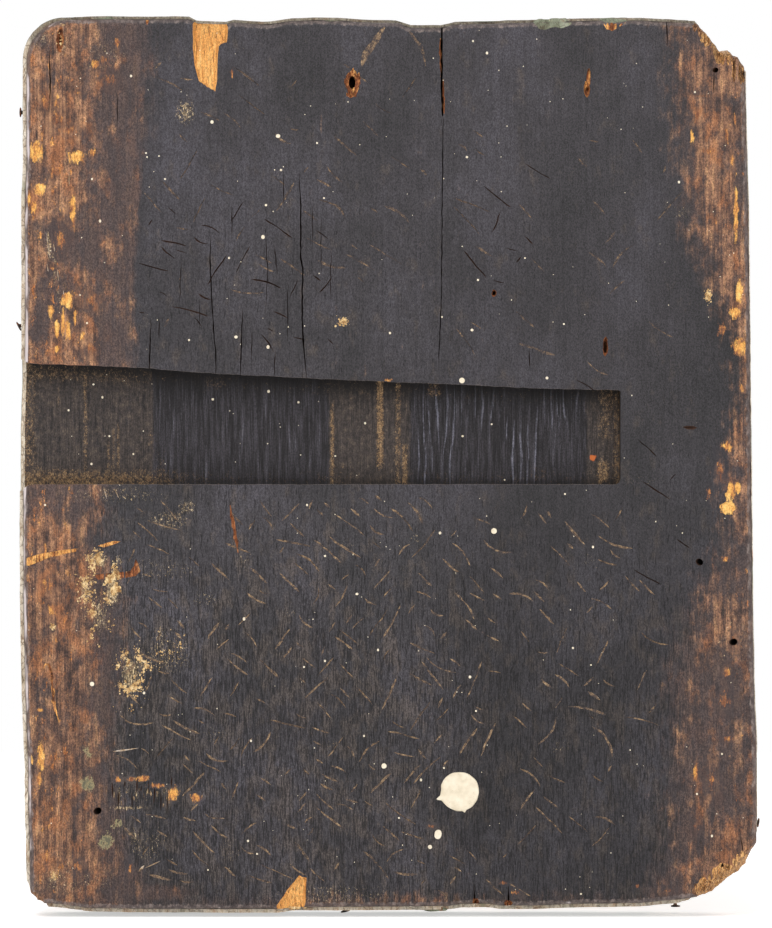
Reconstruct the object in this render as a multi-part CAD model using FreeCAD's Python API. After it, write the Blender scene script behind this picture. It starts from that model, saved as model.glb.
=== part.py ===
"""Small painted icon on a single lime board, with its bare, darkened back towards the viewer.

The board stands upright as it hangs: X runs to the right as seen from the back, Z up, and Y from
the bare back to the painted front. The origin is at the bottom centre. All lengths are millimetres.
The pieces are the board with its tapered dovetail groove, the linen glued to its front, the gesso
ground over front and sides, the paint films, and the small iron nails left in the edges.
"""

import FreeCAD
import Part

import math
import os

from FreeCAD import Vector

# Overall size of the coated panel. Shares of these two place everything on the back and front.
panel_width = 222.0
panel_height = 270.0

# Thickness of each layer, from the back to the front.
board_thickness = 22.0
linen_thickness = 0.4
gesso_thickness = 1.4
paint_thickness = 0.15

# Gesso carried round onto the side edges, thinnest on the right where most of it has worn away.
side_coat_left = 1.2
side_coat_right = 0.35
side_coat_top = 0.9
side_coat_bottom = 1.2
side_coat_setback = 2.3
side_paint_thickness = 0.12
side_paint_setback = 1.5

# Worn roundness of the edges and of the four corners.
back_edge_radius = 1.9
front_edge_radius = 0.8
top_left_radius = 9.5
top_right_radius = 7.0
bottom_left_radius = 3.0
bottom_right_radius = 12.0

# Tapered dovetail groove for the lost cross batten, open at the left edge, blind on the right.
groove_length = 180.5
groove_mouth_width = 36.4
groove_end_width = 28.0
groove_depth = 8.0
groove_height = 129.2
groove_side_angle = 12.0
groove_corner_radius = 1.6
groove_lip_bevel = 0.35

# Recessed picture field of the front, with its sloping margin.
border_side = 25.0
border_top = 29.0
border_bottom = 30.0
recess_depth = 2.0
recess_slope = 3.0

# The linen stops short of the board's edge.
linen_margin = 4.0

# Painted lines of the front.
edge_line_width = 3.2
recess_line_width = 1.6

# The cross, its ring of light and the stepped mound, painted over the field. The post ends below the
# field's upper edge.
motif_thickness = 0.1
cross_post_width = 11.0
cross_top_clearance = 21.8
cross_bar_height = 9.5
cross_top_bar_length = 34.0
cross_main_bar_length = 84.0
cross_foot_bar_length = 50.0
cross_foot_bar_tilt = 24.0
halo_radius = 36.0
halo_band = 5.0
mound_width = 104.0
mound_step_height = 8.0
mound_step_width = 13.0
mound_steps = 3

# How far up the cross each bar sits.
top_bar_share = 0.87
main_bar_share = 0.69
foot_bar_share = 0.24

# Open shrinkage crack that runs down from the top edge.
crack_width = 0.8
crack_tip_width = 0.16
crack_depth = 5.0

# Slivers split off the back at the edges: depth at the tip, and how steeply each floor dips.
chip_tip_depth = 0.2
top_chip_dip = 5.0
bottom_chip_dip = 10.0
top_notch_dip = 25.0

# Beetle exit holes, and the torn holes of pulled nails.
beetle_hole_radius = 0.95
beetle_hole_depth = 9.0
nail_wound_depth = 1.3
pulled_nail_radius = 0.8
pulled_nail_depth = 12.0

# Width of a wound's floor as a share of the width of its mouth.
wound_floor_share = 0.3

# Small iron nails that once held a metal cover, driven into the side edges.
nail_head_radius = 1.5
nail_head_thickness = 0.5
nail_shank_radius = 0.6
nail_length = 9.0
nail_point_length = 2.5
nail_point_radius = 0.15
nail_line = 8.0
nail_clearance = 0.02

# How much more of the ground and of the paint has broken off round a lost corner of the wood.
ground_loss = 0.8
paint_loss = 2.4

# Cutters run past the surfaces that they cut by this much, and points this close are the same.
overrun = 4.0
same_place = 0.01

# The outline as shares of width and height, from the bottom left corner and against the clock.
bottom_edge_shares = [(0.007, 0.003), (0.23, 0.0), (0.62, 0.007), (1.0, 0.009)]
right_edge_shares = [(1.0, 0.009), (0.985, 0.994)]
top_edge_shares = [(0.985, 0.994), (0.79, 0.998), (0.52, 0.995), (0.23, 1.0), (0.004, 0.997)]
left_edge_shares = [(0.004, 0.997), (0.0, 0.45), (0.007, 0.003)]

# Lines along which the corners have broken away, each closed by a last point beyond the corner.
top_right_break_shares = [
    (0.905, 1.03), (0.911, 0.997), (0.920, 0.987), (0.938, 0.972), (0.951, 0.962), (0.960, 0.961),
    (0.972, 0.954), (0.980, 0.945), (0.985, 0.930), (1.03, 0.925), (1.03, 1.03),
]
bottom_right_break_shares = [
    (1.03, 0.105), (1.000, 0.100), (0.996, 0.080), (0.987, 0.068), (0.978, 0.055), (0.971, 0.047),
    (0.954, 0.038), (0.944, 0.028), (0.935, 0.022), (0.921, 0.020), (0.903, 0.0145),
    (0.875, 0.0105), (0.850, -0.02), (1.03, -0.02),
]
bottom_left_break_shares = [
    (-0.03, 0.042), (0.006, 0.037), (0.011, 0.030), (0.023, 0.021), (0.033, 0.015),
    (0.040, -0.02), (-0.03, -0.02),
]

# Shallow hollows worn into the top edge.
top_hollow_shares = [
    [(0.240, 1.02), (0.255, 0.9945), (0.300, 0.9925), (0.330, 0.9930), (0.385, 0.9975), (0.40, 1.02)],
    [(0.515, 1.02), (0.531, 0.9900), (0.552, 0.9885), (0.572, 0.9890), (0.600, 0.9930), (0.64, 1.02)],
]

# Slivers split off the back: the outline of each, its tip first.
top_chip_shares = [
    (0.263, 0.915), (0.243, 0.928), (0.239, 0.939), (0.235, 0.975), (0.236, 1.02),
    (0.283, 1.02), (0.281, 0.970), (0.273, 0.968), (0.270, 0.935), (0.2675, 0.916),
]
top_notch_shares = [(0.172, 0.9895), (0.157, 0.999), (0.150, 1.02), (0.186, 1.02), (0.181, 0.998)]
bottom_chip_shares = [
    (0.389, 0.042), (0.381, 0.044), (0.362, 0.026), (0.348, 0.011), (0.345, -0.02),
    (0.388, -0.02), (0.387, 0.010),
]

# The crack's course down the board, with the share of its full width at each place.
crack_shares = [
    (0.5712, 1.02, 1.0), (0.5705, 0.955, 1.0), (0.5735, 0.888, 0.9), (0.5745, 0.882, 0.45),
    (0.5720, 0.700, 0.35), (0.5680, 0.622, 0.2),
]

beetle_hole_shares = [(0.1055, 0.1146), (0.9202, 0.3915), (0.9662, 0.3026)]

# Torn holes: place, then full width and height of the tear as shares of the panel's width.
nail_wound_shares = [
    (0.4506, 0.9255, 0.022, 0.034),
    (0.7686, 0.9250, 0.0075, 0.036),
    (0.7916, 0.6296, 0.0065, 0.024),
    (0.6428, 0.6908, 0.0075, 0.010),
]
pulled_nail_shares = [(0.4512, 0.9240)]

# Nails left in the edges: how far along the side each sits, and the gap under its head as a share
# of the head's radius. The heads that were bent over lean by the angles below.
left_nail_shares = {"edge_nail_left_upper": (0.896, 0.10), "edge_nail_left_middle": (0.656, 0.05)}
right_nail_shares = {"edge_nail_right_lower": (0.0975, 0.22)}
bottom_nail_shares = {
    "edge_nail_bottom_left": (0.4405, 0.22),
    "edge_nail_bottom_right": (0.893, 0.75),
}
nail_head_lean = {
    "edge_nail_left_middle": -27.0,
    "edge_nail_right_lower": 8.0,
    "edge_nail_bottom_left": -12.0,
}

overall_thickness = board_thickness + linen_thickness + gesso_thickness + paint_thickness
back_y = -overall_thickness / 2
board_front_y = back_y + board_thickness
linen_front_y = board_front_y + linen_thickness
gesso_front_y = linen_front_y + gesso_thickness
paint_front_y = gesso_front_y + paint_thickness
field_y = paint_front_y - recess_depth

coat = (side_coat_left, side_coat_right, side_coat_bottom, side_coat_top)
film = (side_paint_thickness,) * len(coat)
no_inset = (0.0,) * len(coat)


def at(u, v, y, insets=no_inset):
    """Point at shares u of the width and v of the height, inside the given left, right, bottom, top."""
    left, right, bottom, top = insets
    x = -panel_width / 2 + left + u * (panel_width - left - right)
    z = bottom + v * (panel_height - bottom - top)
    return Vector(x, y, z)


def added(insets, distance):
    return tuple(inset + distance for inset in insets)


def smooth_edge(points):
    curve = Part.BSplineCurve()
    curve.interpolate(points)
    return curve.toShape()


def outline(y, insets):
    """The panel's closed outline, drawn in by the insets, in the plane at y."""
    def placed(shares):
        return [at(u, v, y, insets) for u, v in shares]

    edges = [
        smooth_edge(placed(bottom_edge_shares)),
        Part.LineSegment(*placed(right_edge_shares)).toShape(),
        smooth_edge(placed(top_edge_shares)),
        Part.Arc(*placed(left_edge_shares)).toShape(),
    ]
    return Part.Wire(edges)


def corner_radius(point):
    """The radius that the corner nearest to a point has worn to."""
    left, top = point.x < 0, point.z > panel_height / 2
    if top:
        return top_left_radius if left else top_right_radius
    return bottom_left_radius if left else bottom_right_radius


def edges_in_plane(solid, y):
    return [e for e in solid.Edges
            if abs(e.BoundBox.YMin - y) < same_place and abs(e.BoundBox.YMax - y) < same_place]


def blank(y_from, y_to, insets=no_inset):
    """Solid of the panel's outline between two planes, with its four corners rounded."""
    solid = Part.Face(outline(y_from, insets)).extrude(Vector(0, y_to - y_from, 0))
    corners = [at(u, v, y_from, insets) for u, v in (
        bottom_edge_shares[0], bottom_edge_shares[-1], top_edge_shares[0], top_edge_shares[-1])]
    for corner in corners:
        uprights = [e for e in solid.Edges if e.BoundBox.YLength > abs(y_to - y_from) / 2
                    and e.Vertexes[0].Point.distanceToLine(corner, Vector(0, 1, 0)) < same_place]
        radius = corner_radius(corner)
        solid = solid.makeFillet(max(radius - max(insets), radius / 2), uprights)
    return solid


def prism(points, y_from, y_to):
    """Closed polygon in the plane y_from, drawn out to y_to."""
    face = Part.Face(Part.makePolygon(points + points[:1]))
    return face.extrude(Vector(0, y_to - y_from, 0))


def block(low, high, y_from, y_to):
    """Upright rectangular block between two corners, given in X and Z, and two planes."""
    return Part.makeBox(high.x - low.x, y_to - y_from, high.z - low.z, Vector(low.x, y_from, low.z))


def through(shares, shift=Vector()):
    """Prism through the whole thickness over a polygon of shares, moved by a shift."""
    y = back_y - overrun
    return prism([at(u, v, y) + shift for u, v in shares], y, paint_front_y + overrun)


def corner_breaks(loss):
    """Cutters for the broken corners. loss is how much more than the wood the layer has lost."""
    cutters = []
    for shares in (top_right_break_shares, bottom_right_break_shares, bottom_left_break_shares):
        inwards = Vector(0, 0, panel_height / 2) - at(*shares[-1], 0)
        cutters.append(through(shares, inwards.normalize() * loss))
    return cutters


def top_hollows():
    return [through(shares) for shares in top_hollow_shares]


def groove_cutters():
    """Tapered dovetail and the bevel worn onto its lips.

    The lower lip is level, and the upper lip falls from the open mouth to the blind end.
    """
    spread = math.tan(math.radians(groove_side_angle))
    end_x = -panel_width / 2 + groove_length
    mouth_x = -panel_width / 2 - overrun
    fall = (groove_mouth_width - groove_end_width) / groove_length

    def section(y, widen):
        low = groove_height - widen
        end_high = groove_height + groove_end_width + widen
        mouth_high = end_high + fall * (end_x - mouth_x)
        corners = [Vector(mouth_x, y, low), Vector(end_x, y, low),
                   Vector(end_x, y, end_high), Vector(mouth_x, y, mouth_high)]
        return Part.makePolygon(corners + corners[:1])

    groove = Part.makeLoft([section(back_y - overrun, -overrun * spread),
                            section(back_y + groove_depth, groove_depth * spread)], True, True)
    blind_corners = [e for e in groove.Edges if e.BoundBox.YLength > groove_depth
                     and all(abs(v.Point.x - end_x) < same_place for v in e.Vertexes)]
    groove = groove.makeFillet(groove_corner_radius, blind_corners)
    bevel = Part.makeLoft([section(back_y - overrun, groove_lip_bevel + overrun),
                           section(back_y + groove_lip_bevel, 0)], True, True)
    bevel_corners = [e for e in bevel.Edges if e.BoundBox.YLength > overrun
                     and all(abs(v.Point.x - end_x) < same_place for v in e.Vertexes)]
    return [groove, bevel.makeFillet(groove_corner_radius, bevel_corners)]


def crack_cutter():
    """Narrow wedge along the crack's course, widest at the surface and closing with depth."""
    def ring(y, width_share):
        right, left = [], []
        for u, v, width in crack_shares:
            half = Vector(max(width * crack_width, crack_tip_width) / 2 * width_share, 0, 0)
            right.append(at(u, v, y) + half)
            left.append(at(u, v, y) - half)
        points = right + left[::-1]
        return Part.makePolygon(points + points[:1])

    surface = ring(back_y - overrun, 1 + overrun / crack_depth)
    floor = ring(back_y + crack_depth, crack_tip_width / crack_width)
    return Part.makeLoft([surface, floor], True, True)


def chip_cutter(shares, dip):
    """A split-off sliver: its floor starts shallow at the tip and dips towards the panel's edge."""
    points = [at(u, v, back_y - overrun) for u, v in shares]
    tip = Vector(points[0].x, back_y, points[0].z)
    solid = prism(points, back_y - overrun, back_y + chip_tip_depth)
    turn = -dip if tip.z > panel_height / 2 else dip
    solid.rotate(tip, Vector(1, 0, 0), turn)
    return solid


def hole(u, v, radius, depth):
    """Straight round hole into the back."""
    return Part.makeCylinder(radius, depth + overrun, at(u, v, back_y - overrun), Vector(0, 1, 0))


def oval(u, v, width, height, y):
    """Oval wire in the plane y, given its full width and height."""
    long_half, short_half = max(width, height) / 2, min(width, height) / 2
    ellipse = Part.Ellipse(at(u, v, y), long_half, short_half)
    ellipse.Axis = Vector(0, 1, 0)
    ellipse.XAxis = Vector(0, 0, 1) if height > width else Vector(1, 0, 0)
    return Part.Wire(ellipse.toShape())


def nail_wound(u, v, width, height):
    """Torn crater where a nail was pulled, narrowing towards its floor."""
    flare = 1 + (1 - wound_floor_share) * overrun / nail_wound_depth
    mouth = oval(u, v, width * flare, height * flare, back_y - overrun)
    floor = oval(u, v, width * wound_floor_share, height * wound_floor_share,
                 back_y + nail_wound_depth)
    return Part.makeLoft([mouth, floor], True, True)


def holes_in_back():
    holes = [hole(u, v, beetle_hole_radius, beetle_hole_depth) for u, v in beetle_hole_shares]
    holes += [hole(u, v, pulled_nail_radius, pulled_nail_depth) for u, v in pulled_nail_shares]
    holes += [nail_wound(u, v, width_share * panel_width, height_share * panel_width)
              for u, v, width_share, height_share in nail_wound_shares]
    return holes


def recess_corners(front_y, y):
    """Low and high corner of the recess in the plane y, for a layer whose border lies at front_y.

    Each layer follows the slope, so the recess closes in a little as the layers build up.
    """
    slope_angle = math.atan2(recess_depth, recess_slope)
    layer_inset = (front_y - board_front_y) * math.tan(slope_angle / 2)
    drawn_in = layer_inset + recess_slope * (front_y - y) / recess_depth
    low = Vector(-panel_width / 2 + border_side + drawn_in, y, border_bottom + drawn_in)
    high = Vector(panel_width / 2 - border_side - drawn_in, y, panel_height - border_top - drawn_in)
    return low, high


def recess_cutter(front_y):
    """Sunk field with sloping sides, as the layer whose border lies at front_y shows it."""
    def ring(y):
        low, high = recess_corners(front_y, y)
        corners = [Vector(low.x, y, low.z), Vector(high.x, y, low.z),
                   Vector(high.x, y, high.z), Vector(low.x, y, high.z)]
        return Part.makePolygon(corners + corners[:1])

    return Part.makeLoft([ring(front_y + overrun), ring(front_y - recess_depth)], True, True)


def nail_entry(side, place_share, panel):
    """Where a nail enters the side of the panel, and the direction that its head faces."""
    y = gesso_front_y - nail_line
    if side == "bottom":
        outwards = Vector(0, 0, -1)
        start = Vector(place_share * panel_width - panel_width / 2, y, panel_height / 2)
    else:
        outwards = Vector(-1 if side == "left" else 1, 0, 0)
        start = Vector(0, y, place_share * panel_height)
    inside = Part.makeLine(start, start + outwards * panel_height).common(panel)
    return max((v.Point for v in inside.Vertexes), key=outwards.dot), outwards


def nail_shank(entry, outwards, gap, clearance):
    """Round shank with a pointed end, from the head's seat down into the wood."""
    radius = nail_shank_radius + clearance
    seat = entry + outwards * gap
    straight = nail_length - nail_point_length + gap + clearance
    shank = Part.makeCylinder(radius, straight, seat, -outwards)
    point = Part.makeCone(radius, nail_point_radius + clearance, nail_point_length,
                          seat - outwards * straight, -outwards)
    return shank.fuse(point).removeSplitter()


def nail(entry, outwards, gap, lean):
    """One nail: a flat round head with a softly rounded rim on a pointed shank."""
    seat = entry + outwards * gap
    head = Part.makeCylinder(nail_head_radius, nail_head_thickness, seat, outwards)
    rim = [e for e in head.Edges if e.Closed
           and (e.CenterOfMass - seat).dot(outwards) > nail_head_thickness / 2]
    head = head.makeFillet(nail_head_thickness / 2, rim)
    head.rotate(seat, Vector(0, 1, 0), lean)
    shank = nail_shank(entry, outwards, gap + nail_head_thickness / 2, 0.0)
    return head.fuse(shank).removeSplitter()


def nail_hole(entry, outwards, gap, lean):
    """The hole that a nail fills, with the dent that a leaning head has pressed into the edge."""
    seat = entry + outwards * (gap - nail_clearance)
    dent = Part.makeCylinder(nail_head_radius + nail_clearance, overrun, seat, outwards)
    dent.rotate(seat, Vector(0, 1, 0), lean)
    return nail_shank(entry, outwards, overrun, nail_clearance).fuse(dent)


def placed_nails():
    """Each nail's name with its entry, direction, gap and lean."""
    panel = blank(back_y, gesso_front_y).cut(corner_breaks(0.0))
    placed = {}
    for side, shares in (("left", left_nail_shares), ("right", right_nail_shares),
                         ("bottom", bottom_nail_shares)):
        for name, (place_share, gap_share) in shares.items():
            entry, outwards = nail_entry(side, place_share, panel)
            placed[name] = (entry, outwards, gap_share * nail_head_radius, nail_head_lean.get(name, 0.0))
    return placed


def one_solid(shape):
    """The largest solid of a cut, without crumbs and with its split faces merged."""
    return max(shape.removeSplitter().Solids, key=lambda s: s.Volume)


def wood_panel(nail_holes):
    board = blank(back_y, board_front_y, coat)
    board = board.makeFillet(back_edge_radius, edges_in_plane(board, back_y))
    chips = [chip_cutter(top_chip_shares, top_chip_dip), chip_cutter(top_notch_shares, top_notch_dip),
             chip_cutter(bottom_chip_shares, bottom_chip_dip)]
    return one_solid(board.cut([recess_cutter(board_front_y), crack_cutter()] + groove_cutters() + chips
                               + holes_in_back() + top_hollows() + corner_breaks(0.0) + nail_holes))


def behind(y):
    """Everything behind a layer's rear surface at y: what the layer is laid on."""
    low = Vector(-panel_width / 2 - overrun, 0, -overrun)
    high = Vector(panel_width / 2 + overrun, 0, panel_height + overrun)
    return block(low, high, back_y - overrun, y).cut(recess_cutter(y))


def front_layer(y_from, y_to, insets):
    """A layer over the whole front between two border planes, sunk into the recess."""
    stock = blank(y_from - recess_depth - overrun, y_to, insets)
    return stock.cut([recess_cutter(y_to), behind(y_from)])


def linen_cloth():
    layer = front_layer(board_front_y, linen_front_y, added(coat, linen_margin))
    return one_solid(layer.cut(corner_breaks(ground_loss) + top_hollows()))


def gesso_ground(linen, nail_holes):
    """Ground over the front and round the sides, its front edge rounded by wear."""
    ground = blank(back_y + side_coat_setback, gesso_front_y, film)
    ground = ground.makeFillet(front_edge_radius, edges_in_plane(ground, gesso_front_y))
    wood = blank(back_y, board_front_y, coat).cut(recess_cutter(board_front_y))
    return one_solid(ground.cut([wood, linen, recess_cutter(gesso_front_y)] + groove_cutters()
                                + corner_breaks(ground_loss) + top_hollows() + nail_holes))


def side_paint(nail_holes):
    """Thin coat of paint round the side edges, between the worn front edge and the bare back."""
    y_from = back_y + side_coat_setback + side_paint_setback
    y_to = gesso_front_y - front_edge_radius
    ring = blank(y_from, y_to).cut([blank(y_from, y_to, film)] + groove_cutters()
                                   + corner_breaks(paint_loss) + top_hollows() + nail_holes)
    return Part.makeCompound([s for s in ring.Solids if s.BoundBox.DiagonalLength > nail_length])


def front_paint():
    """The whole paint film of the front, before it is divided into its colours."""
    layer = front_layer(gesso_front_y, paint_front_y, added(film, front_edge_radius))
    return layer.cut(corner_breaks(paint_loss) + top_hollows())


def full_depth(low, high):
    return block(low, high, board_front_y - recess_depth - overrun, paint_front_y + overrun)


def divided_paint():
    """The front's film, cut along the painted lines into edge line, border, recess line and field."""
    whole = front_paint()
    inside_edge_line = blank(board_front_y - recess_depth - overrun, paint_front_y + overrun,
                             added(film, front_edge_radius + edge_line_width))
    low, high = recess_corners(paint_front_y, paint_front_y)
    width = Vector(recess_line_width, 0, recess_line_width)
    lip = full_depth(low - width, high + width)
    floor = full_depth(*recess_corners(paint_front_y, field_y))
    return {
        "edge_line_paint": one_solid(whole.cut(inside_edge_line)),
        "border_paint": one_solid(whole.common(inside_edge_line).cut(lip)),
        "recess_line_paint": one_solid(whole.common(lip).cut(floor)),
        "field_paint": one_solid(whole.common(floor)),
    }


def motif_prism(points):
    """A flat painted shape on the picture field, from its corner points in X and Z."""
    return prism([Vector(x, field_y, z) for x, z in points], field_y, field_y + motif_thickness)


def bar(length, middle_z, tilt=0.0):
    """One bar of the cross, centred on the post at middle_z."""
    half, low, high = length / 2, middle_z - cross_bar_height / 2, middle_z + cross_bar_height / 2
    solid = motif_prism([(-half, low), (half, low), (half, high), (-half, high)])
    solid.rotate(Vector(0, 0, middle_z), Vector(0, 1, 0), tilt)
    return solid


def up_the_post(foot_z, top_z, share):
    """Height at a share of the post, from its foot to its top."""
    return foot_z + share * (top_z - foot_z)


def cross_paint(foot_z, top_z):
    """Three-barred cross on the mound: short top bar, main bar, slanting foot bar."""
    post_half = cross_post_width / 2
    post = motif_prism([(-post_half, foot_z), (post_half, foot_z), (post_half, top_z), (-post_half, top_z)])
    bars = [
        bar(cross_top_bar_length, up_the_post(foot_z, top_z, top_bar_share)),
        bar(cross_main_bar_length, up_the_post(foot_z, top_z, main_bar_share)),
        bar(cross_foot_bar_length, up_the_post(foot_z, top_z, foot_bar_share), cross_foot_bar_tilt),
    ]
    return post.fuse(bars).removeSplitter()


def halo_gilding(middle_z, cross):
    """Ring of gold leaf round the crossing, passing behind the bars."""
    centre, forwards = Vector(0, field_y, middle_z), Vector(0, 1, 0)
    disc = Part.makeCylinder(halo_radius, motif_thickness, centre, forwards)
    core = Part.makeCylinder(halo_radius - halo_band, motif_thickness, centre, forwards)
    return Part.makeCompound(disc.cut([core, cross]).Solids)


def mound_paint(bottom_z):
    """Stepped mound under the cross, standing on the lower edge of the field."""
    right_side = []
    for step in range(mound_steps):
        half = mound_width / 2 - step * mound_step_width
        low = bottom_z + step * mound_step_height
        right_side += [(half, low), (half, low + mound_step_height)]
    return motif_prism(right_side + [(-x, z) for x, z in reversed(right_side)])


def main():
    os.makedirs("parts", exist_ok=True)
    nails = placed_nails()
    nail_holes = [nail_hole(*place) for place in nails.values()]
    linen = linen_cloth()
    field_low, field_high = recess_corners(paint_front_y, field_y)
    foot_z = field_low.z + mound_steps * mound_step_height
    top_z = field_high.z - cross_top_clearance
    cross = cross_paint(foot_z, top_z)

    pieces = {
        "wood_panel": wood_panel(nail_holes),
        "linen_cloth": linen,
        "gesso_ground": gesso_ground(linen, nail_holes),
        "side_paint": side_paint(nail_holes),
        **divided_paint(),
        "cross_paint": cross,
        "halo_gilding": halo_gilding(up_the_post(foot_z, top_z, main_bar_share), cross),
        "mound_paint": mound_paint(field_low.z),
    }
    for name, place in nails.items():
        pieces[name] = nail(*place)

    for name, shape in pieces.items():
        shape.exportStep(os.path.join("parts", name + ".step"))
        box = shape.BoundBox
        print(f"{name}: {len(shape.Solids)} solid, valid {shape.isValid()}, volume {shape.Volume:.1f}, "
              f"x {box.XMin:.2f} {box.XMax:.2f} y {box.YMin:.2f} {box.YMax:.2f} z {box.ZMin:.2f} {box.ZMax:.2f}")


main()
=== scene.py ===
import math

import bmesh
import bpy
import numpy as np
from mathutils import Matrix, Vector


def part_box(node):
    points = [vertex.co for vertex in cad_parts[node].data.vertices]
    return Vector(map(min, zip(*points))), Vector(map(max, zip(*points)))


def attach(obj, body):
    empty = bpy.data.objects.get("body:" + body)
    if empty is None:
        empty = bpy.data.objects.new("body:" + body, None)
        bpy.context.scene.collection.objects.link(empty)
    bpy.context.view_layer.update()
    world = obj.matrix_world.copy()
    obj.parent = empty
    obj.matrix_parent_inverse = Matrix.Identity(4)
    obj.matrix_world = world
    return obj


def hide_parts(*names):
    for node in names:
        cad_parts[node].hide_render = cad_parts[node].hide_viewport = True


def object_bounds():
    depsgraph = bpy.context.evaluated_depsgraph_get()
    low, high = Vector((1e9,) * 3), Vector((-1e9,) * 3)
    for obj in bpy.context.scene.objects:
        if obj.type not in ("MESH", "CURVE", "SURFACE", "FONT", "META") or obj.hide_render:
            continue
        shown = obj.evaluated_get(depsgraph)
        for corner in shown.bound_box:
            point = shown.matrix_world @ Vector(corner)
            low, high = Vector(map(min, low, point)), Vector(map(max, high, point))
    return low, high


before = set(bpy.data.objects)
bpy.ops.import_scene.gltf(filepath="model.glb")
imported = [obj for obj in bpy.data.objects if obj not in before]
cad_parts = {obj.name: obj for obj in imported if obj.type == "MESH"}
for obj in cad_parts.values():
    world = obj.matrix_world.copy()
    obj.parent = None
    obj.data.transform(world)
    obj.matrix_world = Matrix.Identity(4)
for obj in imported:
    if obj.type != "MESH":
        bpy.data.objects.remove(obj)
cad_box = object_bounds()

# The view. The icon stands upright with its bare back to a camera that looks squarely at it from
# 1.6 m, in soft light from above, on a plain pale floor.
ELEMENT = 0.0003003
PICTURE_WIDTH, PICTURE_HEIGHT = 772, 928
MIDDLE_COLUMN, FOOT_ROW = 388.5, 914.0
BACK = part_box("wood_panel")[0].y


def placed(column, row):
    """X and Z of the place on the back that the picture shows at a column and a row."""
    x = (np.asarray(column, float) - MIDDLE_COLUMN) * ELEMENT
    return x, (FOOT_ROW - np.asarray(row, float)) * ELEMENT


camera_distance = 1.6
camera_lens = bpy.data.cameras.new("camera")
camera_lens.sensor_fit = "HORIZONTAL"
camera_lens.sensor_width = 36
camera_lens.lens = 36 * camera_distance / (PICTURE_WIDTH * ELEMENT)
camera = bpy.data.objects.new("camera", camera_lens)
middle_x, middle_z = placed(PICTURE_WIDTH / 2, PICTURE_HEIGHT / 2)
camera.location = (middle_x, BACK - camera_distance, middle_z)
camera.rotation_euler = (math.radians(90), 0, 0)
bpy.context.scene.collection.objects.link(camera)
bpy.context.scene.camera = camera
bpy.context.scene.view_settings.view_transform = "Standard"


def soft_lamp(name, place, aim, size, power):
    lamp = bpy.data.lights.new(name, "AREA")
    lamp.shape = "SQUARE"
    lamp.size = size
    lamp.energy = power
    holder = bpy.data.objects.new(name, lamp)
    holder.location = place
    holder.rotation_euler = (Vector(aim) - Vector(place)).to_track_quat("-Z", "Y").to_euler()
    bpy.context.scene.collection.objects.link(holder)


soft_lamp("overhead_lamp", (-0.25, -0.75, 1.25), (0, 0, 0.13), 0.7, 11)
soft_lamp("front_lamp", (0.5, -1.5, 0.5), (0, 0, 0.13), 1.0, 8)
soft_lamp("far_side_lamp", (-0.4, 1.4, 1.0), (0, 0, 0.13), 1.0, 14)


def step(tree, kind, inputs=(), **settings):
    """Adds a node to a tree, with its settings and with values or other nodes' outputs as inputs."""
    node = tree.nodes.new(kind)
    for setting, value in settings.items():
        setattr(node, setting, value)
    for socket, value in dict(inputs).items():
        if isinstance(value, bpy.types.NodeSocket):
            tree.links.new(value, node.inputs[socket])
        else:
            node.inputs[socket].default_value = value
    return node


def white_to_the_eye(tree, shade, strength):
    """White where the camera, a gloss or a clear body looks at it, and the given shade to all else."""
    rays = step(tree, "ShaderNodeLightPath").outputs
    seen = rays["Is Camera Ray"]
    for other in ("Is Glossy Ray", "Is Transmission Ray"):
        seen = step(tree, "ShaderNodeMath", {0: seen, 1: rays[other]}, operation="MAXIMUM").outputs[0]
    white = step(tree, "ShaderNodeEmission", {"Strength": strength}).outputs[0]
    return step(tree, "ShaderNodeMixShader", {0: seen, 1: shade, 2: white}).outputs[0]


surround = bpy.data.worlds.new("surround")
bpy.context.scene.world = surround
surround.use_nodes = True
surround.node_tree.nodes.clear()
daylight = step(surround.node_tree, "ShaderNodeBackground", {"Strength": 0.40}).outputs[0]
step(surround.node_tree, "ShaderNodeOutputWorld",
     {0: white_to_the_eye(surround.node_tree, daylight, 1.0)})

FLOOR_REACH = 0.9
floor_mesh = bpy.data.meshes.new("floor")
floor_level = cad_box[0].z - 0.0008
floor_mesh.from_pydata([(across * FLOOR_REACH, along * FLOOR_REACH, floor_level)
                        for across, along in ((-1, -1), (1, -1), (1, 1), (-1, 1))], [], [(0, 1, 2, 3)])
floor = bpy.data.objects.new("floor", floor_mesh)
bpy.context.scene.collection.objects.link(floor)
floor_finish = bpy.data.materials.new("pale_floor")
floor_finish.use_nodes = True
floor_tree = floor_finish.node_tree
floor_tree.nodes.clear()
floor_board = step(floor_tree, "ShaderNodeBsdfDiffuse", {"Color": (0.8, 0.8, 0.8, 1)}).outputs[0]
floor_glow = white_to_the_eye(floor_tree, floor_board, 0.52)
floor_sum = step(floor_tree, "ShaderNodeAddShader", {0: floor_board, 1: floor_glow}).outputs[0]
step(floor_tree, "ShaderNodeOutputMaterial", {0: floor_sum})
floor_mesh.materials.append(floor_finish)

# The wood panel. One lime board, planed on the back, hollowed on the front for the picture, stained
# nearly black behind and worn back to brown down both sides. Its outline is the traced one, less the
# ground and paint that coat its edges.
BOARD_THICKNESS = 0.022
HALF_WIDTH, HEIGHT = 0.111, 0.270
COATS = (0.0012, 0.00035, 0.0012, 0.0009)
ROUNDING = (0.0126, 0.003, 0.002, 0.003)
ARRIS = 0.0019
SETTLING = 0.021

lattice = np.random.default_rng(11).random((256, 256))


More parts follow.
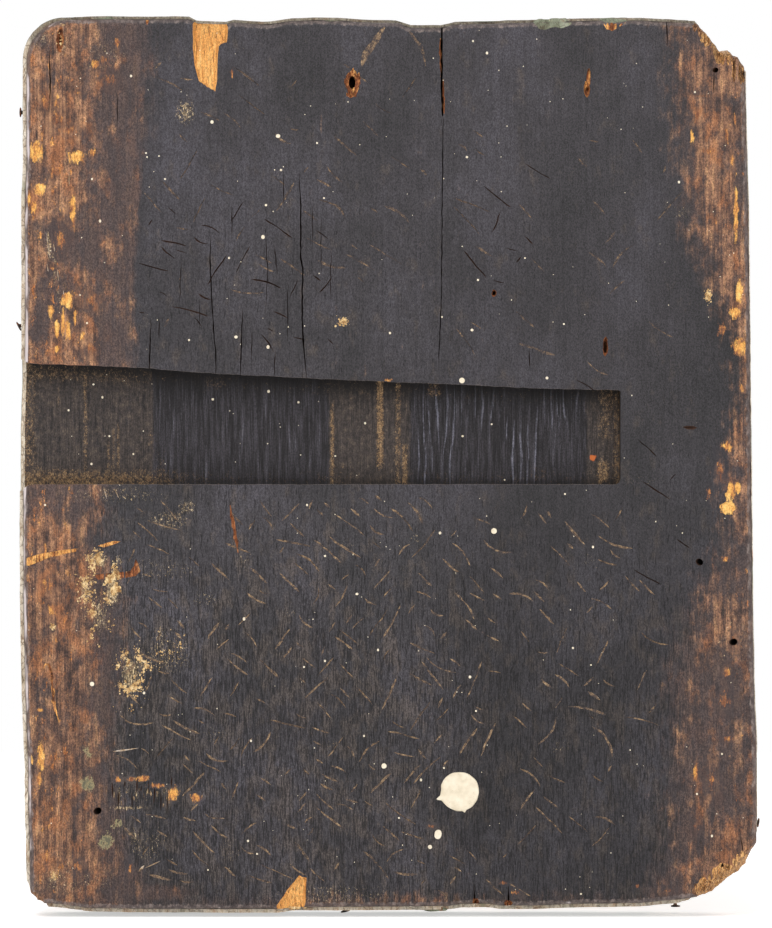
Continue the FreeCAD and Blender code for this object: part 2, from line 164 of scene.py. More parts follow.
def drift(x, z, across, along, seed):
    """Smooth random variation from -1 to 1 in patches of the given size across and along the grain."""
    column, row = x / across + 37.7 * seed, z / along + 91.3 * seed
    left, low = np.floor(column).astype(int), np.floor(row).astype(int)
    s, t = column - left, row - low
    s, t = s * s * (3 - 2 * s), t * t * (3 - 2 * t)

    def corner(i, j):
        return lattice[(left + i) % 256, (low + j) % 256]

    near = corner(0, 0) * (1 - s) + corner(1, 0) * s
    far = corner(0, 1) * (1 - s) + corner(1, 1) * s
    return 2 * (near * (1 - t) + far * t) - 1


def eased(value, low, high):
    share = np.clip((value - low) / (high - low), 0, 1)
    return share * share * (3 - 2 * share)


def back_at(x, z):
    """Y of the planed back, which waves a little and is ridged along the grain."""
    wave = 0.00011 * drift(x, z, 0.05, 0.07, 1) + 0.00005 * drift(x, z, 0.012, 0.03, 2)
    return BACK + 0.0002 + wave + 0.000035 * drift(x, z, 0.0023, 0.05, 3)


def side_line(points, upright):
    """A traced side of the outline, ready to be read at any place along it."""
    x, z = placed(*np.array(points, float).T)
    along, out = (z, x) if upright else (x, z)
    order = np.argsort(along)
    return along[order], out[order]


left_line = side_line([(22, 0), (22, 160), (20.5, 200), (20.5, 380), (19, 430), (19, 600), (21, 700),
                       (23.5, 760), (24, 820), (25, 845), (26, 914)], True)
right_line = side_line([(747, 0), (747, 100), (750, 220), (752, 400), (753, 500), (754, 600),
                        (756, 700), (758, 740), (758, 914)], True)
top_line = side_line([(0, 17), (60, 16), (90, 15.5), (190, 15.5), (197, 20), (228, 21), (232, 19),
                      (268, 21), (290, 17.5), (320, 16.5), (350, 17.5), (370, 19), (400, 19.5),
                      (407, 24), (444, 24), (452, 21), (490, 20.5), (505, 19.5), (560, 18),
                      (600, 17), (640, 17), (660, 18), (694, 19.5), (772, 20)], False)
bottom_line = side_line([(0, 907), (48, 908), (60, 909.5), (90, 912.5), (150, 913.5), (280, 913.5),
                         (292, 911.5), (380, 911), (450, 910.5), (460, 908.5), (490, 908),
                         (500, 910), (540, 910), (570, 908.5), (640, 907.5), (660, 905.5),
                         (679, 904), (700, 901), (772, 895)], False)


def edges_at(x, z):
    """Where the left, right, bottom and top edges lie beside a place, with their small raggedness."""
    def ragged(t, seed):
        return 0.00007 * drift(t, t, 0.003, 0.009, seed)

    return (np.interp(z, *left_line) + ragged(z, 4), np.interp(z, *right_line) + ragged(z, 5),
            np.interp(x, *bottom_line) + ragged(x, 6), np.interp(x, *top_line) + ragged(x, 7))


def inside(x, z, coats=COATS):
    """How far inside the outline, drawn in by the coats, a place lies."""
    left, right, bottom, top = edges_at(x, z)
    from_left, from_right = x - left - coats[0], right - coats[1] - x
    from_bottom, from_top = z - bottom - coats[2], top - coats[3] - z
    least = np.minimum(np.minimum(from_left, from_right), np.minimum(from_bottom, from_top))
    corners = zip((from_left, from_right) * 2, (from_top, from_top, from_bottom, from_bottom), ROUNDING)
    for beside, beyond, radius in corners:
        in_corner = (beside < radius) & (beyond < radius)
        least = np.where(in_corner, radius - np.hypot(radius - beside, radius - beyond), least)
    return least


def settled(across, up, coats=COATS):
    """X and Z of a net of lines over the panel, drawn to its traced outline.

    The lines come at their places in a true rectangle. Near the outline they move with it, and
    beyond SETTLING they stay where they are.
    """
    x, z = np.meshgrid(across, up, indexing="ij")
    left, right, bottom, top = edges_at(x, z)
    near_bottom = np.clip(1 - z / SETTLING, 0, 1)
    near_top = np.clip(1 - (HEIGHT - z) / SETTLING, 0, 1)
    z = z + near_bottom * (bottom + coats[2]) + near_top * (top - coats[3] - HEIGHT)
    left, right, bottom, top = edges_at(x, z)
    from_top, from_bottom = top - coats[3] - z, z - bottom - coats[2]

    def cut_in(distance, radius):
        distance = np.clip(distance, 0, radius)
        return radius - np.sqrt(np.maximum(radius ** 2 - (radius - distance) ** 2, 0))

    in_left = cut_in(from_top, ROUNDING[0]) + cut_in(from_bottom, ROUNDING[2])
    in_right = cut_in(from_top, ROUNDING[1]) + cut_in(from_bottom, ROUNDING[3])
    near_left = np.clip(1 - (x + HALF_WIDTH) / SETTLING, 0, 1)
    near_right = np.clip(1 - (HALF_WIDTH - x) / SETTLING, 0, 1)
    x = (x + near_left * (left + coats[0] + in_left + HALF_WIDTH)
         + near_right * (right - coats[1] - in_right - HALF_WIDTH))
    return x, z


def lines(low, high, spacing, near_edges, knots=()):
    """Places of net lines from low to high: close together near both ends, with any knots exact."""
    first, last = low + near_edges[-1], high - near_edges[-1]
    places = np.linspace(first, last, int((last - first) / spacing) + 1)
    for knot in knots:
        places[np.argmin(abs(places - knot))] = knot
    return np.unique(np.concatenate([low + np.array(near_edges[:-1]), places,
                                     high - np.array(near_edges[:-1])]))


def rim(net):
    """The places round the border of a net, in order."""
    return np.concatenate([net[:, 0], net[-1, 1:], net[-2::-1, -1], net[0, -2:0:-1]])


def skin(x, z):
    """Y of the board's back out to its worn arris."""
    worn = ARRIS * (1 + 0.22 * drift(x, z, 0.011, 0.014, 8))
    short_of = np.clip(worn - inside(x, z), 0, worn)
    return back_at(x, z) + worn - np.sqrt(worn ** 2 - short_of ** 2)


def quads(count, width):
    """Faces of a net of count by width points."""
    place = np.arange(count * width).reshape(count, width)
    return np.stack([place[:-1, :-1], place[1:, :-1], place[1:, 1:], place[:-1, 1:]], -1).reshape(-1, 4)


def slab(net, rings):
    """Points and faces of a body: a net over one side, rings of points down its sides, and a flat end."""
    x, y, z = net
    points = [np.stack([x, y, z], -1).reshape(-1, 3)]
    faces = quads(*x.shape).tolist()
    border = rim(np.arange(x.size).reshape(x.shape))
    count = x.size
    for ring in rings:
        below = np.arange(count, count + len(border))
        points.append(np.stack(ring, -1))
        faces += np.stack([border, np.roll(border, -1), np.roll(below, -1), below], -1).tolist()
        border, count = below, count + len(below)
    return np.concatenate(points), faces + [border.tolist()]


def made(name, points, faces, finishes=(), finish=0):
    """A closed body from its points and faces, with its faces turned outwards."""
    mesh = bpy.data.meshes.new(name)
    mesh.from_pydata([tuple(p) for p in np.asarray(points, float).tolist()], [],
                     [[int(i) for i in face] for face in faces])
    turning = bmesh.new()
    turning.from_mesh(mesh)
    bmesh.ops.recalc_face_normals(turning, faces=turning.faces)
    turning.to_mesh(mesh)
    turning.free()
    for material in finishes:
        mesh.materials.append(material)
    mesh.polygons.foreach_set("material_index", [finish] * len(mesh.polygons))
    mesh.polygons.foreach_set("use_smooth", [True] * len(mesh.polygons))
    body = bpy.data.objects.new(name, mesh)
    bpy.context.scene.collection.objects.link(body)
    return body


def dye(red, green, blue):
    """A colour as a paint chart gives it, 0 to 255, made linear for a shader."""
    def linear(level):
        level /= 255
        return level / 12.92 if level <= 0.04045 else ((level + 0.055) / 1.055) ** 2.4

    return linear(red), linear(green), linear(blue), 1.0


class Finish:
    """A surface finish being mixed: each call adds one step and hands back its result."""

    def __init__(self, name):
        self.material = bpy.data.materials.new(name)
        self.material.use_nodes = True
        self.tree = self.material.node_tree
        self.tree.nodes.clear()
        self.place = self.step("ShaderNodeTexCoord").outputs["Object"]

    def step(self, kind, inputs=(), **settings):
        return step(self.tree, kind, inputs, **settings)

    def stretched(self, size, seed):
        """Places measured in patches of the given size in millimetres, moved by a seed."""
        scale = tuple(1000 / s for s in size)
        shift = tuple(seed * step for step in (3.1, 7.7, 5.3))
        return self.step("ShaderNodeMapping", {"Vector": self.place, "Scale": scale,
                                               "Location": shift}).outputs[0]

    def cloud(self, size, seed=0, detail=3.0, bite=0.5, swirl=0.0):
        """Random patches from 0 to 1, given their size in millimetres along X, Y and Z."""
        return self.step("ShaderNodeTexNoise", {"Vector": self.stretched(size, seed), "Scale": 1.0,
                                                "Detail": detail, "Roughness": bite,
                                                "Distortion": swirl}).outputs[0]

    def cells(self, size, seed=0, feature="DISTANCE_TO_EDGE", scatter=1.0):
        node = self.step("ShaderNodeTexVoronoi", {"Vector": self.stretched(size, seed), "Scale": 1.0,
                                                  "Randomness": scatter}, feature=feature)
        return node.outputs["Distance"]

    def carried(self, name):
        """A value painted on the body's own points."""
        return self.step("ShaderNodeAttribute", attribute_name=name).outputs["Fac"]

    def sum(self, *values):
        total = values[0]
        for value in values[1:]:
            total = self.step("ShaderNodeMath", {0: total, 1: value}, operation="ADD").outputs[0]
        return total

    def less(self, a, b):
        return self.step("ShaderNodeMath", {0: a, 1: b}, operation="SUBTRACT").outputs[0]

    def times(self, a, b):
        return self.step("ShaderNodeMath", {0: a, 1: b}, operation="MULTIPLY").outputs[0]

    def swing(self, value, strength):
        """How far a value lies above or below one half, times a strength."""
        return self.times(self.less(value, 0.5), strength)

    def between(self, value, low, high, start=0.0, end=1.0):
        """The value eased from start to end as it goes from low to high."""
        node = self.step("ShaderNodeMapRange", {"Value": value, "From Min": low, "From Max": high,
                                                "To Min": start, "To Max": end},
                         interpolation_type="SMOOTHSTEP")
        return node.outputs[0]

    def blend(self, share, a, b):
        node = self.step("ShaderNodeMix", {0: share, 6: a, 7: b}, data_type="RGBA")
        return node.outputs[2]

    def lit(self, colour, value):
        """The colour made lighter or darker by a factor."""
        return self.step("ShaderNodeHueSaturation", {"Color": colour, "Value": value}).outputs[0]

    def grade(self, value, stops):
        """Colours read along a scale of (place, colour) stops."""
        node = self.step("ShaderNodeValToRGB", {0: value})
        ramp = node.color_ramp
        while len(ramp.elements) < len(stops):
            ramp.elements.new(1.0)
        for element, (place, colour) in zip(ramp.elements, stops):
            element.position = place
            element.color = colour
        return node.outputs[0]

    def laid(self, colour, gloss, height, relief, **sockets):
        """Closes the finish: its colour, its roughness, and its height times relief in metres."""
        bump = self.step("ShaderNodeBump", {"Height": height, "Distance": relief, "Strength": 1.0})
        body = self.step("ShaderNodeBsdfPrincipled", {"Base Color": colour, "Roughness": gloss,
                                                      "Normal": bump.outputs[0]})
        for socket, value in sockets.items():
            body.inputs[socket.replace("_", " ")].default_value = value
        out = self.step("ShaderNodeOutputMaterial", {"Surface": body.outputs[0]})
        self.tree.nodes.active = out
        return self.material


def hand_worn(f, mottle, streak):
    """Brown of stained lime that hands have rubbed: sooty patches, rusty glows, paler high spots."""
    worn = f.grade(f.sum(f.times(streak, 0.45), f.times(mottle, 0.55)), [
        (0.39, dye(55, 43, 40)), (0.455, dye(90, 66, 55)), (0.505, dye(121, 88, 69)),
        (0.56, dye(151, 111, 83)), (0.64, dye(188, 143, 103))])
    glow = f.between(f.cloud((5, 5, 9), 13, detail=6, bite=0.66), 0.50, 0.62)
    worn = f.blend(f.times(glow, 0.46), worn, dye(166, 104, 62))
    sooty = f.sum(f.cloud((6, 6, 10), 14, detail=7, bite=0.72), f.times(f.carried("soot"), 0.20))
    worn = f.blend(f.between(sooty, 0.49, 0.69, 0.0, 0.9), worn, dye(66, 57, 57))
    grain = f.between(f.cloud((0.30, 2, 4), 15, detail=2), 0.58, 0.66)
    return f.blend(f.times(grain, 0.4), worn, dye(48, 38, 37))


def stain(f, mottle, streak, open_grain):
    """The stain on the back: slate on the sound middle, giving way to brown towards the sides."""
    broad = f.cloud((22, 26, 40), 1, detail=5)
    slate = f.grade(f.sum(f.times(mottle, 0.35), f.times(broad, 0.65)), [
        (0.36, dye(43, 41, 43)), (0.5, dye(53, 50, 53)), (0.64, dye(64, 61, 66))])
    rubbing = f.sum(f.cloud((5, 5, 9), 16, detail=6, bite=0.7), f.times(open_grain, 0.08))
    slate = f.blend(f.times(f.between(rubbing, 0.56, 0.70), 0.42), slate, dye(80, 70, 63))
    slate = f.lit(slate, f.between(f.carried("greyed"), -1.0, 1.0, 0.78, 1.26))
    worn = hand_worn(f, mottle, streak)
    loosened = f.sum(f.carried("brown"), f.swing(mottle, 1.3), f.swing(streak, 0.5))
    return f.blend(f.between(loosened, 0.18, 0.82), slate, worn)


def stained_back():
    """Dark stain on lime: slate on the sound middle, brown where hands have worn it, black pores."""
    f = Finish("stained_back")
    streak = f.cloud((1.1, 3, 26), 2, detail=5, bite=0.6)
    fibre = f.cloud((0.26, 2, 6), 3, detail=3, bite=0.6)
    mottle = f.cloud((4, 4, 6), 4, detail=7, bite=0.72)
    grit = f.cloud((0.42, 1, 0.6), 5, detail=4, bite=0.9)
    open_grain = f.carried("open_grain")
    colour = stain(f, mottle, streak, open_grain)
    hot = f.sum(f.cloud((1.9, 4, 4.0), 6, detail=7, bite=0.76), f.times(f.carried("fleck"), 0.18))
    colour = f.blend(f.between(hot, 0.755, 0.83), colour, f.grade(mottle, [
        (0.38, dye(138, 80, 44)), (0.5, dye(184, 116, 60)), (0.62, dye(216, 158, 88))]))
    chalk = f.sum(f.cloud((0.55, 2, 0.8), 8, detail=6, bite=0.9), f.times(f.carried("flake"), 0.20))
    colour = f.blend(f.between(chalk, 0.66, 0.74, 0.0, 0.85), colour, f.grade(grit, [
        (0.42, dye(128, 104, 76)), (0.52, dye(186, 158, 116)), (0.62, dye(226, 206, 168))]))
    furrow = f.cloud((0.85, 2, 24), 17, detail=4, bite=0.6)
    colour = f.lit(colour, f.between(f.sum(furrow, f.times(open_grain, 0.02)), 0.40, 0.66, 1.06, 0.85))
    hair = f.sum(f.cloud((0.24, 2, 3.2), 19, detail=3, bite=0.6), f.times(open_grain, 0.11))
    hairs = f.times(f.between(hair, 0.66, 0.71), f.between(f.carried("brown"), 0.2, 0.9, 0.8, 0.25))
    colour = f.blend(hairs, colour, dye(24, 22, 23))
    colour = f.lit(colour, f.between(grit, 0.36, 0.64, 0.46, 1.62))
    dust = f.between(f.cloud((0.42, 2, 0.55), 12, detail=5, bite=0.95), 0.67, 0.70)
    colour = f.blend(f.times(dust, 0.7), colour, dye(172, 162, 152))
    patchy = f.cloud((1.3, 1.3, 2.2), 18, detail=6, bite=0.75)
    edge = f.sum(f.carried("edge"), f.swing(patchy, 1.5))
    colour = f.blend(f.between(edge, 0.45, 0.80, 0.0, 0.8), colour, f.grade(patchy, [
        (0.38, dye(70, 60, 58)), (0.50, dye(92, 82, 80)), (0.62, dye(136, 122, 116))]))
    # Painted highlight: a pale glint along the rim, read from the glint value and broken up by noise.
    glint = f.sum(f.carried("glint"), f.swing(f.cloud((3, 3, 9), 20, detail=3), 2.4))
    colour = f.blend(f.between(glint, 0.62, 1.05, 0.0, 0.9), colour, dye(214, 201, 200))
    ragged = f.sum(f.swing(patchy, 4.2), f.swing(grit, 1.2))
    lichen = f.sum(f.carried("lichen"), f.times(ragged, f.between(f.carried("lichen"), 0.0, 0.1)))
    colour = f.blend(f.between(lichen, 0.36, 0.58, 0.0, 0.85), colour, f.grade(lichen, [
        (0.44, dye(192, 176, 130)), (0.62, dye(150, 139, 102)), (0.86, dye(98, 97, 78))]))
    # Darker where the surface lies deeper below the back, as round the arris and down the sides: dirt and
    # painted shade.
    depth_dirt_and_shade = f.between(f.carried("deep"), 0.4, 3.0)
    colour = f.blend(f.times(depth_dirt_and_shade, 0.8), colour, dye(26, 22, 20))
    rough = f.sum(f.times(grit, 0.3), 0.38)
    height = f.less(f.sum(f.times(grit, 0.7), f.times(fibre, 0.5)), f.times(hairs, 0.9))
    return f.laid(colour, rough, height, 0.00013, Specular_IOR_Level=0.22)


def groove_stain():
    """The groove's chiselled floor: slate stain, dusty brown in its corners, and painted shade that turns it
    black under the lips.
    """
    f = Finish("groove_stain")
    fibre = f.cloud((0.30, 2, 7), 21, detail=4, bite=0.7)
    streak = f.cloud((1.2, 3, 18), 22, detail=4)
    grime = f.cloud((1.4, 3, 2.0), 23, detail=7, bite=0.78)
    grit = f.cloud((0.36, 1, 0.6), 24, detail=4, bite=0.9)
    colour = f.grade(f.sum(f.times(fibre, 0.55), f.times(streak, 0.45)), [
        (0.36, dye(22, 20, 21)), (0.48, dye(38, 35, 37)), (0.60, dye(62, 59, 64)),
        (0.72, dye(112, 110, 120))])
    # Painted highlight: the chisel ripple crests lightened to a cool grey.
    crest = f.sum(f.swing(fibre, 1.2), f.swing(grime, 0.9), f.carried("crest"))
    colour = f.blend(f.between(crest, 0.45, 1.0, 0.0, 0.8), colour, dye(112, 111, 122))
    worn = f.sum(f.swing(streak, 1.2), f.swing(grime, 0.8), f.carried("brown"))
    earthy = f.grade(f.sum(f.times(fibre, 0.4), f.times(grime, 0.6)), [
        (0.38, dye(37, 33, 31)), (0.50, dye(59, 52, 49)), (0.62, dye(90, 78, 69))])
    colour = f.blend(f.between(worn, 0.16, 0.60, 0.0, 0.9), colour, earthy)
    colour = f.lit(colour, f.between(grit, 0.36, 0.64, 0.53, 1.49))
    # Painted shade: the floor darkened to near black under the upper lip and along its lower corner.
    colour = f.blend(f.carried("shade"), colour, dye(12, 9, 8))
    grain = f.cloud((0.5, 2, 0.7), 25, detail=5, bite=0.95)
    dusty = f.sum(f.swing(grain, 3.2), f.swing(grime, 1.2), f.carried("dust"))
    colour = f.blend(f.between(dusty, 0.66, 1.15, 0.0, 0.9), colour, f.grade(grit, [
        (0.38, dye(84, 62, 44)), (0.50, dye(134, 104, 72)), (0.62, dye(190, 158, 116))]))
    rusty = f.sum(f.carried("fleck"), f.swing(grime, 2.0))
    colour = f.blend(f.between(rusty, 0.55, 0.85, 0.0, 0.9), colour, dye(196, 104, 50))
    mote = f.between(f.cloud((0.40, 2, 0.5), 26, detail=5, bite=0.95), 0.665, 0.70)
    colour = f.blend(f.times(mote, 0.6), colour, dye(168, 150, 128))
    # Lighter grey along both lips: worn bevels, and a painted highlight where the bevels catch the light.
    lip = f.sum(f.carried("lip"), f.swing(grime, 1.4))
    colour = f.blend(f.between(lip, 0.40, 0.85, 0.0, 0.85), colour, f.grade(grit, [
        (0.4, dye(98, 88, 84)), (0.62, dye(160, 148, 142))]))
    rough = f.sum(f.times(grime, 0.3), 0.45)
    return f.laid(colour, rough, f.sum(f.times(fibre, 0.6), f.times(grit, 0.4)), 0.00020,
                  Specular_IOR_Level=0.2)


def bare_lime():
    """Freshly split lime, pale and fibrous, browner where it was torn long ago."""
    f = Finish("bare_lime")
    fibre = f.cloud((0.24, 0.5, 7), 31, detail=5, bite=0.66)
    strand = f.cloud((0.9, 0.9, 12), 32, detail=4, bite=0.6)
    tint = f.cloud((1.6, 1.6, 2.4), 33, detail=6, bite=0.7)
    grit = f.cloud((0.36, 0.5, 0.6), 36, detail=4, bite=0.9)
    pale = f.grade(f.sum(f.times(fibre, 0.6), f.times(strand, 0.4)), [
        (0.32, dye(150, 94, 46)), (0.46, dye(208, 146, 80)), (0.56, dye(230, 174, 102)),
        (0.70, dye(244, 206, 146))])
    old = f.grade(f.sum(f.times(fibre, 0.4), f.times(tint, 0.6)), [
        (0.38, dye(50, 29, 20)), (0.47, dye(108, 62, 38)), (0.55, dye(160, 98, 60)),
        (0.65, dye(208, 152, 104))])
    freshness = f.sum(f.swing(strand, 1.3), f.swing(tint, 0.8), f.carried("fresh"))
    colour = f.blend(f.between(freshness, 0.38, 0.66), old, pale)
    # Darker with depth below the back, as in torn holes and deep breaks: dirt and painted shade.
    depth_dirt_and_shade = f.between(f.sum(f.carried("deep"), f.swing(strand, 3.0)), 1.6, 4.5)
    colour = f.blend(f.times(depth_dirt_and_shade, 0.85), colour, dye(34, 24, 18))
    colour = f.blend(f.times(f.carried("torn"), 0.34), colour, f.grade(tint, [
        (0.40, dye(150, 118, 92)), (0.60, dye(222, 190, 148))]))
    torn = f.sum(f.cloud((0.42, 0.6, 2.0), 37, detail=4, bite=0.75), f.times(f.carried("torn"), 0.10))
    colour = f.blend(f.between(torn, 0.55, 0.65, 0.0, 0.85), colour, dye(78, 52, 38))
    colour = f.lit(colour, f.between(grit, 0.36, 0.64, 0.66, 1.34))
    return f.laid(colour, f.sum(f.times(tint, 0.2), 0.6), f.sum(f.times(fibre, 0.7), f.times(grit, 0.3)),
                  0.00035, Specular_IOR_Level=0.2)


def flaked_stain():
    """Places where the stain has flaked off hand-worn lime, ragged along the grain."""
    f = Finish("flaked_stain")
    streak = f.cloud((1.1, 3, 26), 2, detail=5, bite=0.6)
    mottle = f.cloud((4, 4, 6), 4, detail=7, bite=0.72)
    ragged = f.cloud((0.9, 2, 2.4), 34, detail=7, bite=0.82)
    tint = f.cloud((1.4, 2, 2.6), 35, detail=6, bite=0.76)
    grit = f.cloud((0.42, 1, 0.6), 5, detail=4, bite=0.9)
    fresh = f.less(f.carried("fresh"), 0.6)
    bared = f.sum(f.carried("bared"), f.swing(ragged, 3.6), fresh)
    bare = f.grade(f.sum(tint, f.times(fresh, 0.28)), [
        (0.36, dye(110, 68, 48)), (0.46, dye(166, 108, 66)), (0.56, dye(212, 152, 76)),
        (0.68, dye(232, 184, 108))])
    colour = f.blend(f.between(bared, 0.42, 0.78), stain(f, mottle, streak, f.carried("open_grain")), bare)
    colour = f.lit(colour, f.between(grit, 0.34, 0.66, 0.66, 1.34))
    return f.laid(colour, f.sum(f.times(tint, 0.2), 0.5), f.sum(f.times(ragged, 0.5), f.times(grit, 0.5)),
                  0.00013, Specular_IOR_Level=0.2)


def crack_dark():
    """The inside of cracks, worm holes and old torn holes: brown at the mouth, darkening with depth to black,
    partly dirt and partly painted shade.
    """
    f = Finish("crack_dark")
    grime = f.cloud((0.8, 0.8, 2), 41, detail=4)
    # Darker with depth: dirt and painted shade.
    colour = f.grade(f.sum(f.times(f.carried("deep"), 0.35), f.swing(grime, 0.6)), [
        (0.0, dye(62, 42, 32)), (0.35, dye(30, 22, 19)), (1.0, dye(12, 9, 8))])
    return f.laid(colour, f.sum(f.times(grime, 0.2), 0.7), grime, 0.0002, Specular_IOR_Level=0.15)


def scratched_wood():
    """Lime laid bare by old scratches, greyed on the upper half and lighter below."""
    f = Finish("scratched_wood")
    crumb = f.cloud((0.42, 1, 0.5), 51, detail=5, bite=0.95)
    worn_in = f.cloud((1.5, 1, 1.5), 52, detail=4, bite=0.75)
    bright = f.sum(f.times(crumb, 0.5), f.times(worn_in, 0.5), f.times(f.carried("pale"), 0.055))
    colour = f.grade(bright, [
        (0.49, dye(54, 50, 52)), (0.535, dye(80, 68, 62)), (0.59, dye(124, 101, 79)),
        (0.65, dye(172, 145, 110)), (0.76, dye(208, 200, 194))])
    return f.laid(colour, f.sum(f.times(crumb, 0.2), 0.6), crumb, 0.0001, Specular_IOR_Level=0.2)


BACK_FACE, GROOVE, BARE, DARK, SCRATCH, FLAKED = range(6)
board_finishes = [stained_back(), groove_stain(), bare_lime(), crack_dark(), scratched_wood(),
                  flaked_stain()]

near_arris = [0.0, 0.00007, 0.00026, 0.00056, 0.00095, 0.0014, 0.0019, 0.0026, 0.0035, 0.0046]
board_across = lines(-HALF_WIDTH, HALF_WIDTH, 0.00102, near_arris)
board_up = lines(0, HEIGHT, 0.0016, near_arris)
board_x, board_z = settled(board_across, board_up)
rim_x, rim_z = rim(board_x), rim(board_z)
board_net = board_x, skin(board_x, board_z), board_z
board_rings = [(rim_x, np.full(rim_x.shape, BACK + depth), rim_z)
               for depth in (0.0028, 0.0042, 0.008, 0.014, 0.019, BOARD_THICKNESS)]
wood_panel = made("wood_panel_board", *slab(board_net, board_rings), board_finishes, BACK_FACE)


def cut(body, tool, keep="DIFFERENCE"):
    """Takes a closed tool out of a body, or keeps what the two share, and throws the tool away."""
    step = body.modifiers.new("cut", "BOOLEAN")
    step.operation, step.solver, step.object = keep, "MANIFOLD", tool
    shaped = bpy.data.meshes.new_from_object(body.evaluated_get(bpy.context.evaluated_depsgraph_get()))
    body.modifiers.remove(step)
    spent = (body.data, tool.data)
    body.data = shaped
    bpy.data.objects.remove(tool)
    for mesh in spent:
        bpy.data.meshes.remove(mesh)


def joined(shapes):
    """Several closed shapes as the points and faces of one body."""
    points, faces, count = [], [], 0
    for shape_points, shape_faces in shapes:
        points.append(shape_points)
        faces += [[i + count for i in face] for face in shape_faces]
        count += len(shape_points)
    return np.concatenate(points), faces


def carve(body, tools, finish=0):
    """Takes a set of separate closed tools out of a body. The new faces get the given finish."""
    cut(body, made("tool", *joined(tools), body.data.materials, finish))


def lofted(stations):
    """A closed tool through a row of closed sections, each with the same number of points."""
    count, width = stations.shape[:2]
    place = np.arange(count * width).reshape(count, width)
    beside = np.roll(place, -1, axis=1)
    walls = np.stack([place[:-1], place[1:], beside[1:], beside[:-1]], -1).reshape(-1, 4).tolist()
    return stations.reshape(-1, 3), walls + [place[0].tolist(), place[-1].tolist()]


def scoop(columns, rows, depth, step=0.0004, step_along=0.0009):
    """A tool over part of the back, whose underside lies at a depth below it.

    depth gets X and Z and gives metres into the wood, and less than nothing where none is taken.
    """
    low_x, high_z = placed(columns[0], rows[0])
    high_x, low_z = placed(columns[1], rows[1])
    x, z = np.meshgrid(np.arange(low_x, high_x + step, step),
                       np.arange(low_z, high_z + step_along, step_along), indexing="ij")
    under = back_at(x, z) + np.maximum(depth(x, z), -0.0012)
    points = np.stack([x, under, z], -1).reshape(-1, 3)
    place = np.arange(x.size).reshape(x.shape)
    edge = rim(place)
    roof = points[edge].copy()
    roof[:, 1] = BACK - 0.003
    top = np.arange(len(points), len(points) + len(roof))
    faces = quads(*x.shape).tolist()
    faces += np.stack([edge, np.roll(edge, -1), np.roll(top, -1), top], -1).tolist()
    return np.concatenate([points, roof]), faces + [top.tolist()]


def course(points, step):
    """X and Z close together along a line through places in the picture."""
    x, z = placed(*np.array(points, float)[:, :2].T)
    length = np.concatenate([[0], np.cumsum(np.hypot(np.diff(x), np.diff(z)))])
    along = np.linspace(0, length[-1], max(int(length[-1] / step), 3) + 1)
    return np.interp(along, length, x), np.interp(along, length, z), along / length[-1]


TOOL_LIFT = 0.00025


def split(points, width, depth, waver, seed, taper=0.25, step=0.0009):
    """A V-shaped tool along a line, as wide at the surface as width in picture elements."""
    x, z, share = course(points, step)
    turn_x, turn_z = np.gradient(x), np.gradient(z)
    size = np.hypot(turn_x, turn_z)
    side_x, side_z = -turn_z / size, turn_x / size
    sway = waver * drift(z, x, 0.0016, 0.004, seed)
    x, z = x + side_x * sway, z + side_z * sway
    ends = np.clip(np.minimum(share, 1 - share) / taper, 0.05, 1) ** 0.7 if taper else 1.0
    uneven = 1 + 0.45 * drift(z, x, 0.0012, 0.01, seed + 1)
    half = width * ELEMENT / 2 * ends * uneven
    deep = depth * ends * (1 + 0.2 * drift(x, z, 0.002, 0.004, seed + 2))
    surface = back_at(x, z)
    flare = half * (1 + TOOL_LIFT / deep)
    stations = np.stack([
        np.stack([x - side_x * flare, surface - TOOL_LIFT, z - side_z * flare], -1),
        np.stack([x + side_x * flare, surface - TOOL_LIFT, z + side_z * flare], -1),
        np.stack([x, surface + deep, z], -1)], 1)
    return lofted(stations)


def signed_distance(x, z, polygon):
    """Distance in metres to a closed polygon of places in the picture, positive inside it."""
    corner_x, corner_z = placed(*np.array(polygon, float).T)
    nearest = np.full(x.shape, np.inf)
    within = np.zeros(x.shape, bool)
    for x0, z0, x1, z1 in zip(corner_x, corner_z, np.roll(corner_x, -1), np.roll(corner_z, -1)):
        run_x, run_z = x1 - x0, z1 - z0
        share = np.clip(((x - x0) * run_x + (z - z0) * run_z) / (run_x ** 2 + run_z ** 2), 0, 1)
        nearest = np.minimum(nearest, np.hypot(x - x0 - share * run_x, z - z0 - share * run_z))
        crossing = (z0 > z) != (z1 > z)
        within ^= crossing & (x < x0 + (z - z0) * run_x / np.where(run_z == 0, 1e-12, run_z))
    return np.where(within, nearest, -nearest)


# The batten's groove, cut by the joiner across the grain with a dovetail plane and a chisel. Its
# lower lip is level, its upper lip falls towards the blind end, and both lips overhang.
GROOVE_DEPTH = 0.008
UNDERCUT = math.tan(math.radians(12))
lip_columns = [-20, 27, 150, 191, 306, 398, 475, 530, 597, 640]
lip_rows = [361, 363, 368, 372, 378, 382, 385, 388, 389.3, 390]
LOWER_LIP_ROW = 484.3
BLIND_RADIUS, MOUTH_REACH = 0.0018, 0.0034
groove_end, _ = placed(620.5, 0)
smooth_end, rippled_from = groove_end - 0.002, placed(400, 0)[0]
groove_x = np.concatenate([np.arange(placed(8, 0)[0], rippled_from, 0.0005),
                           np.arange(rippled_from, smooth_end, 0.00027),
                           groove_end - BLIND_RADIUS * np.cos(np.linspace(0.15, math.pi / 2, 7))])
upper_lip = np.interp(groove_x, placed(lip_columns, 0)[0], placed(0, lip_rows)[1])
upper_lip += 0.00012 * drift(groove_x, groove_x, 0.0021, 0.006, 61) - 0.0001
lower_lip = placed(0, LOWER_LIP_ROW)[1] + 0.00009 * drift(groove_x, groove_x, 0.003, 0.01, 62)
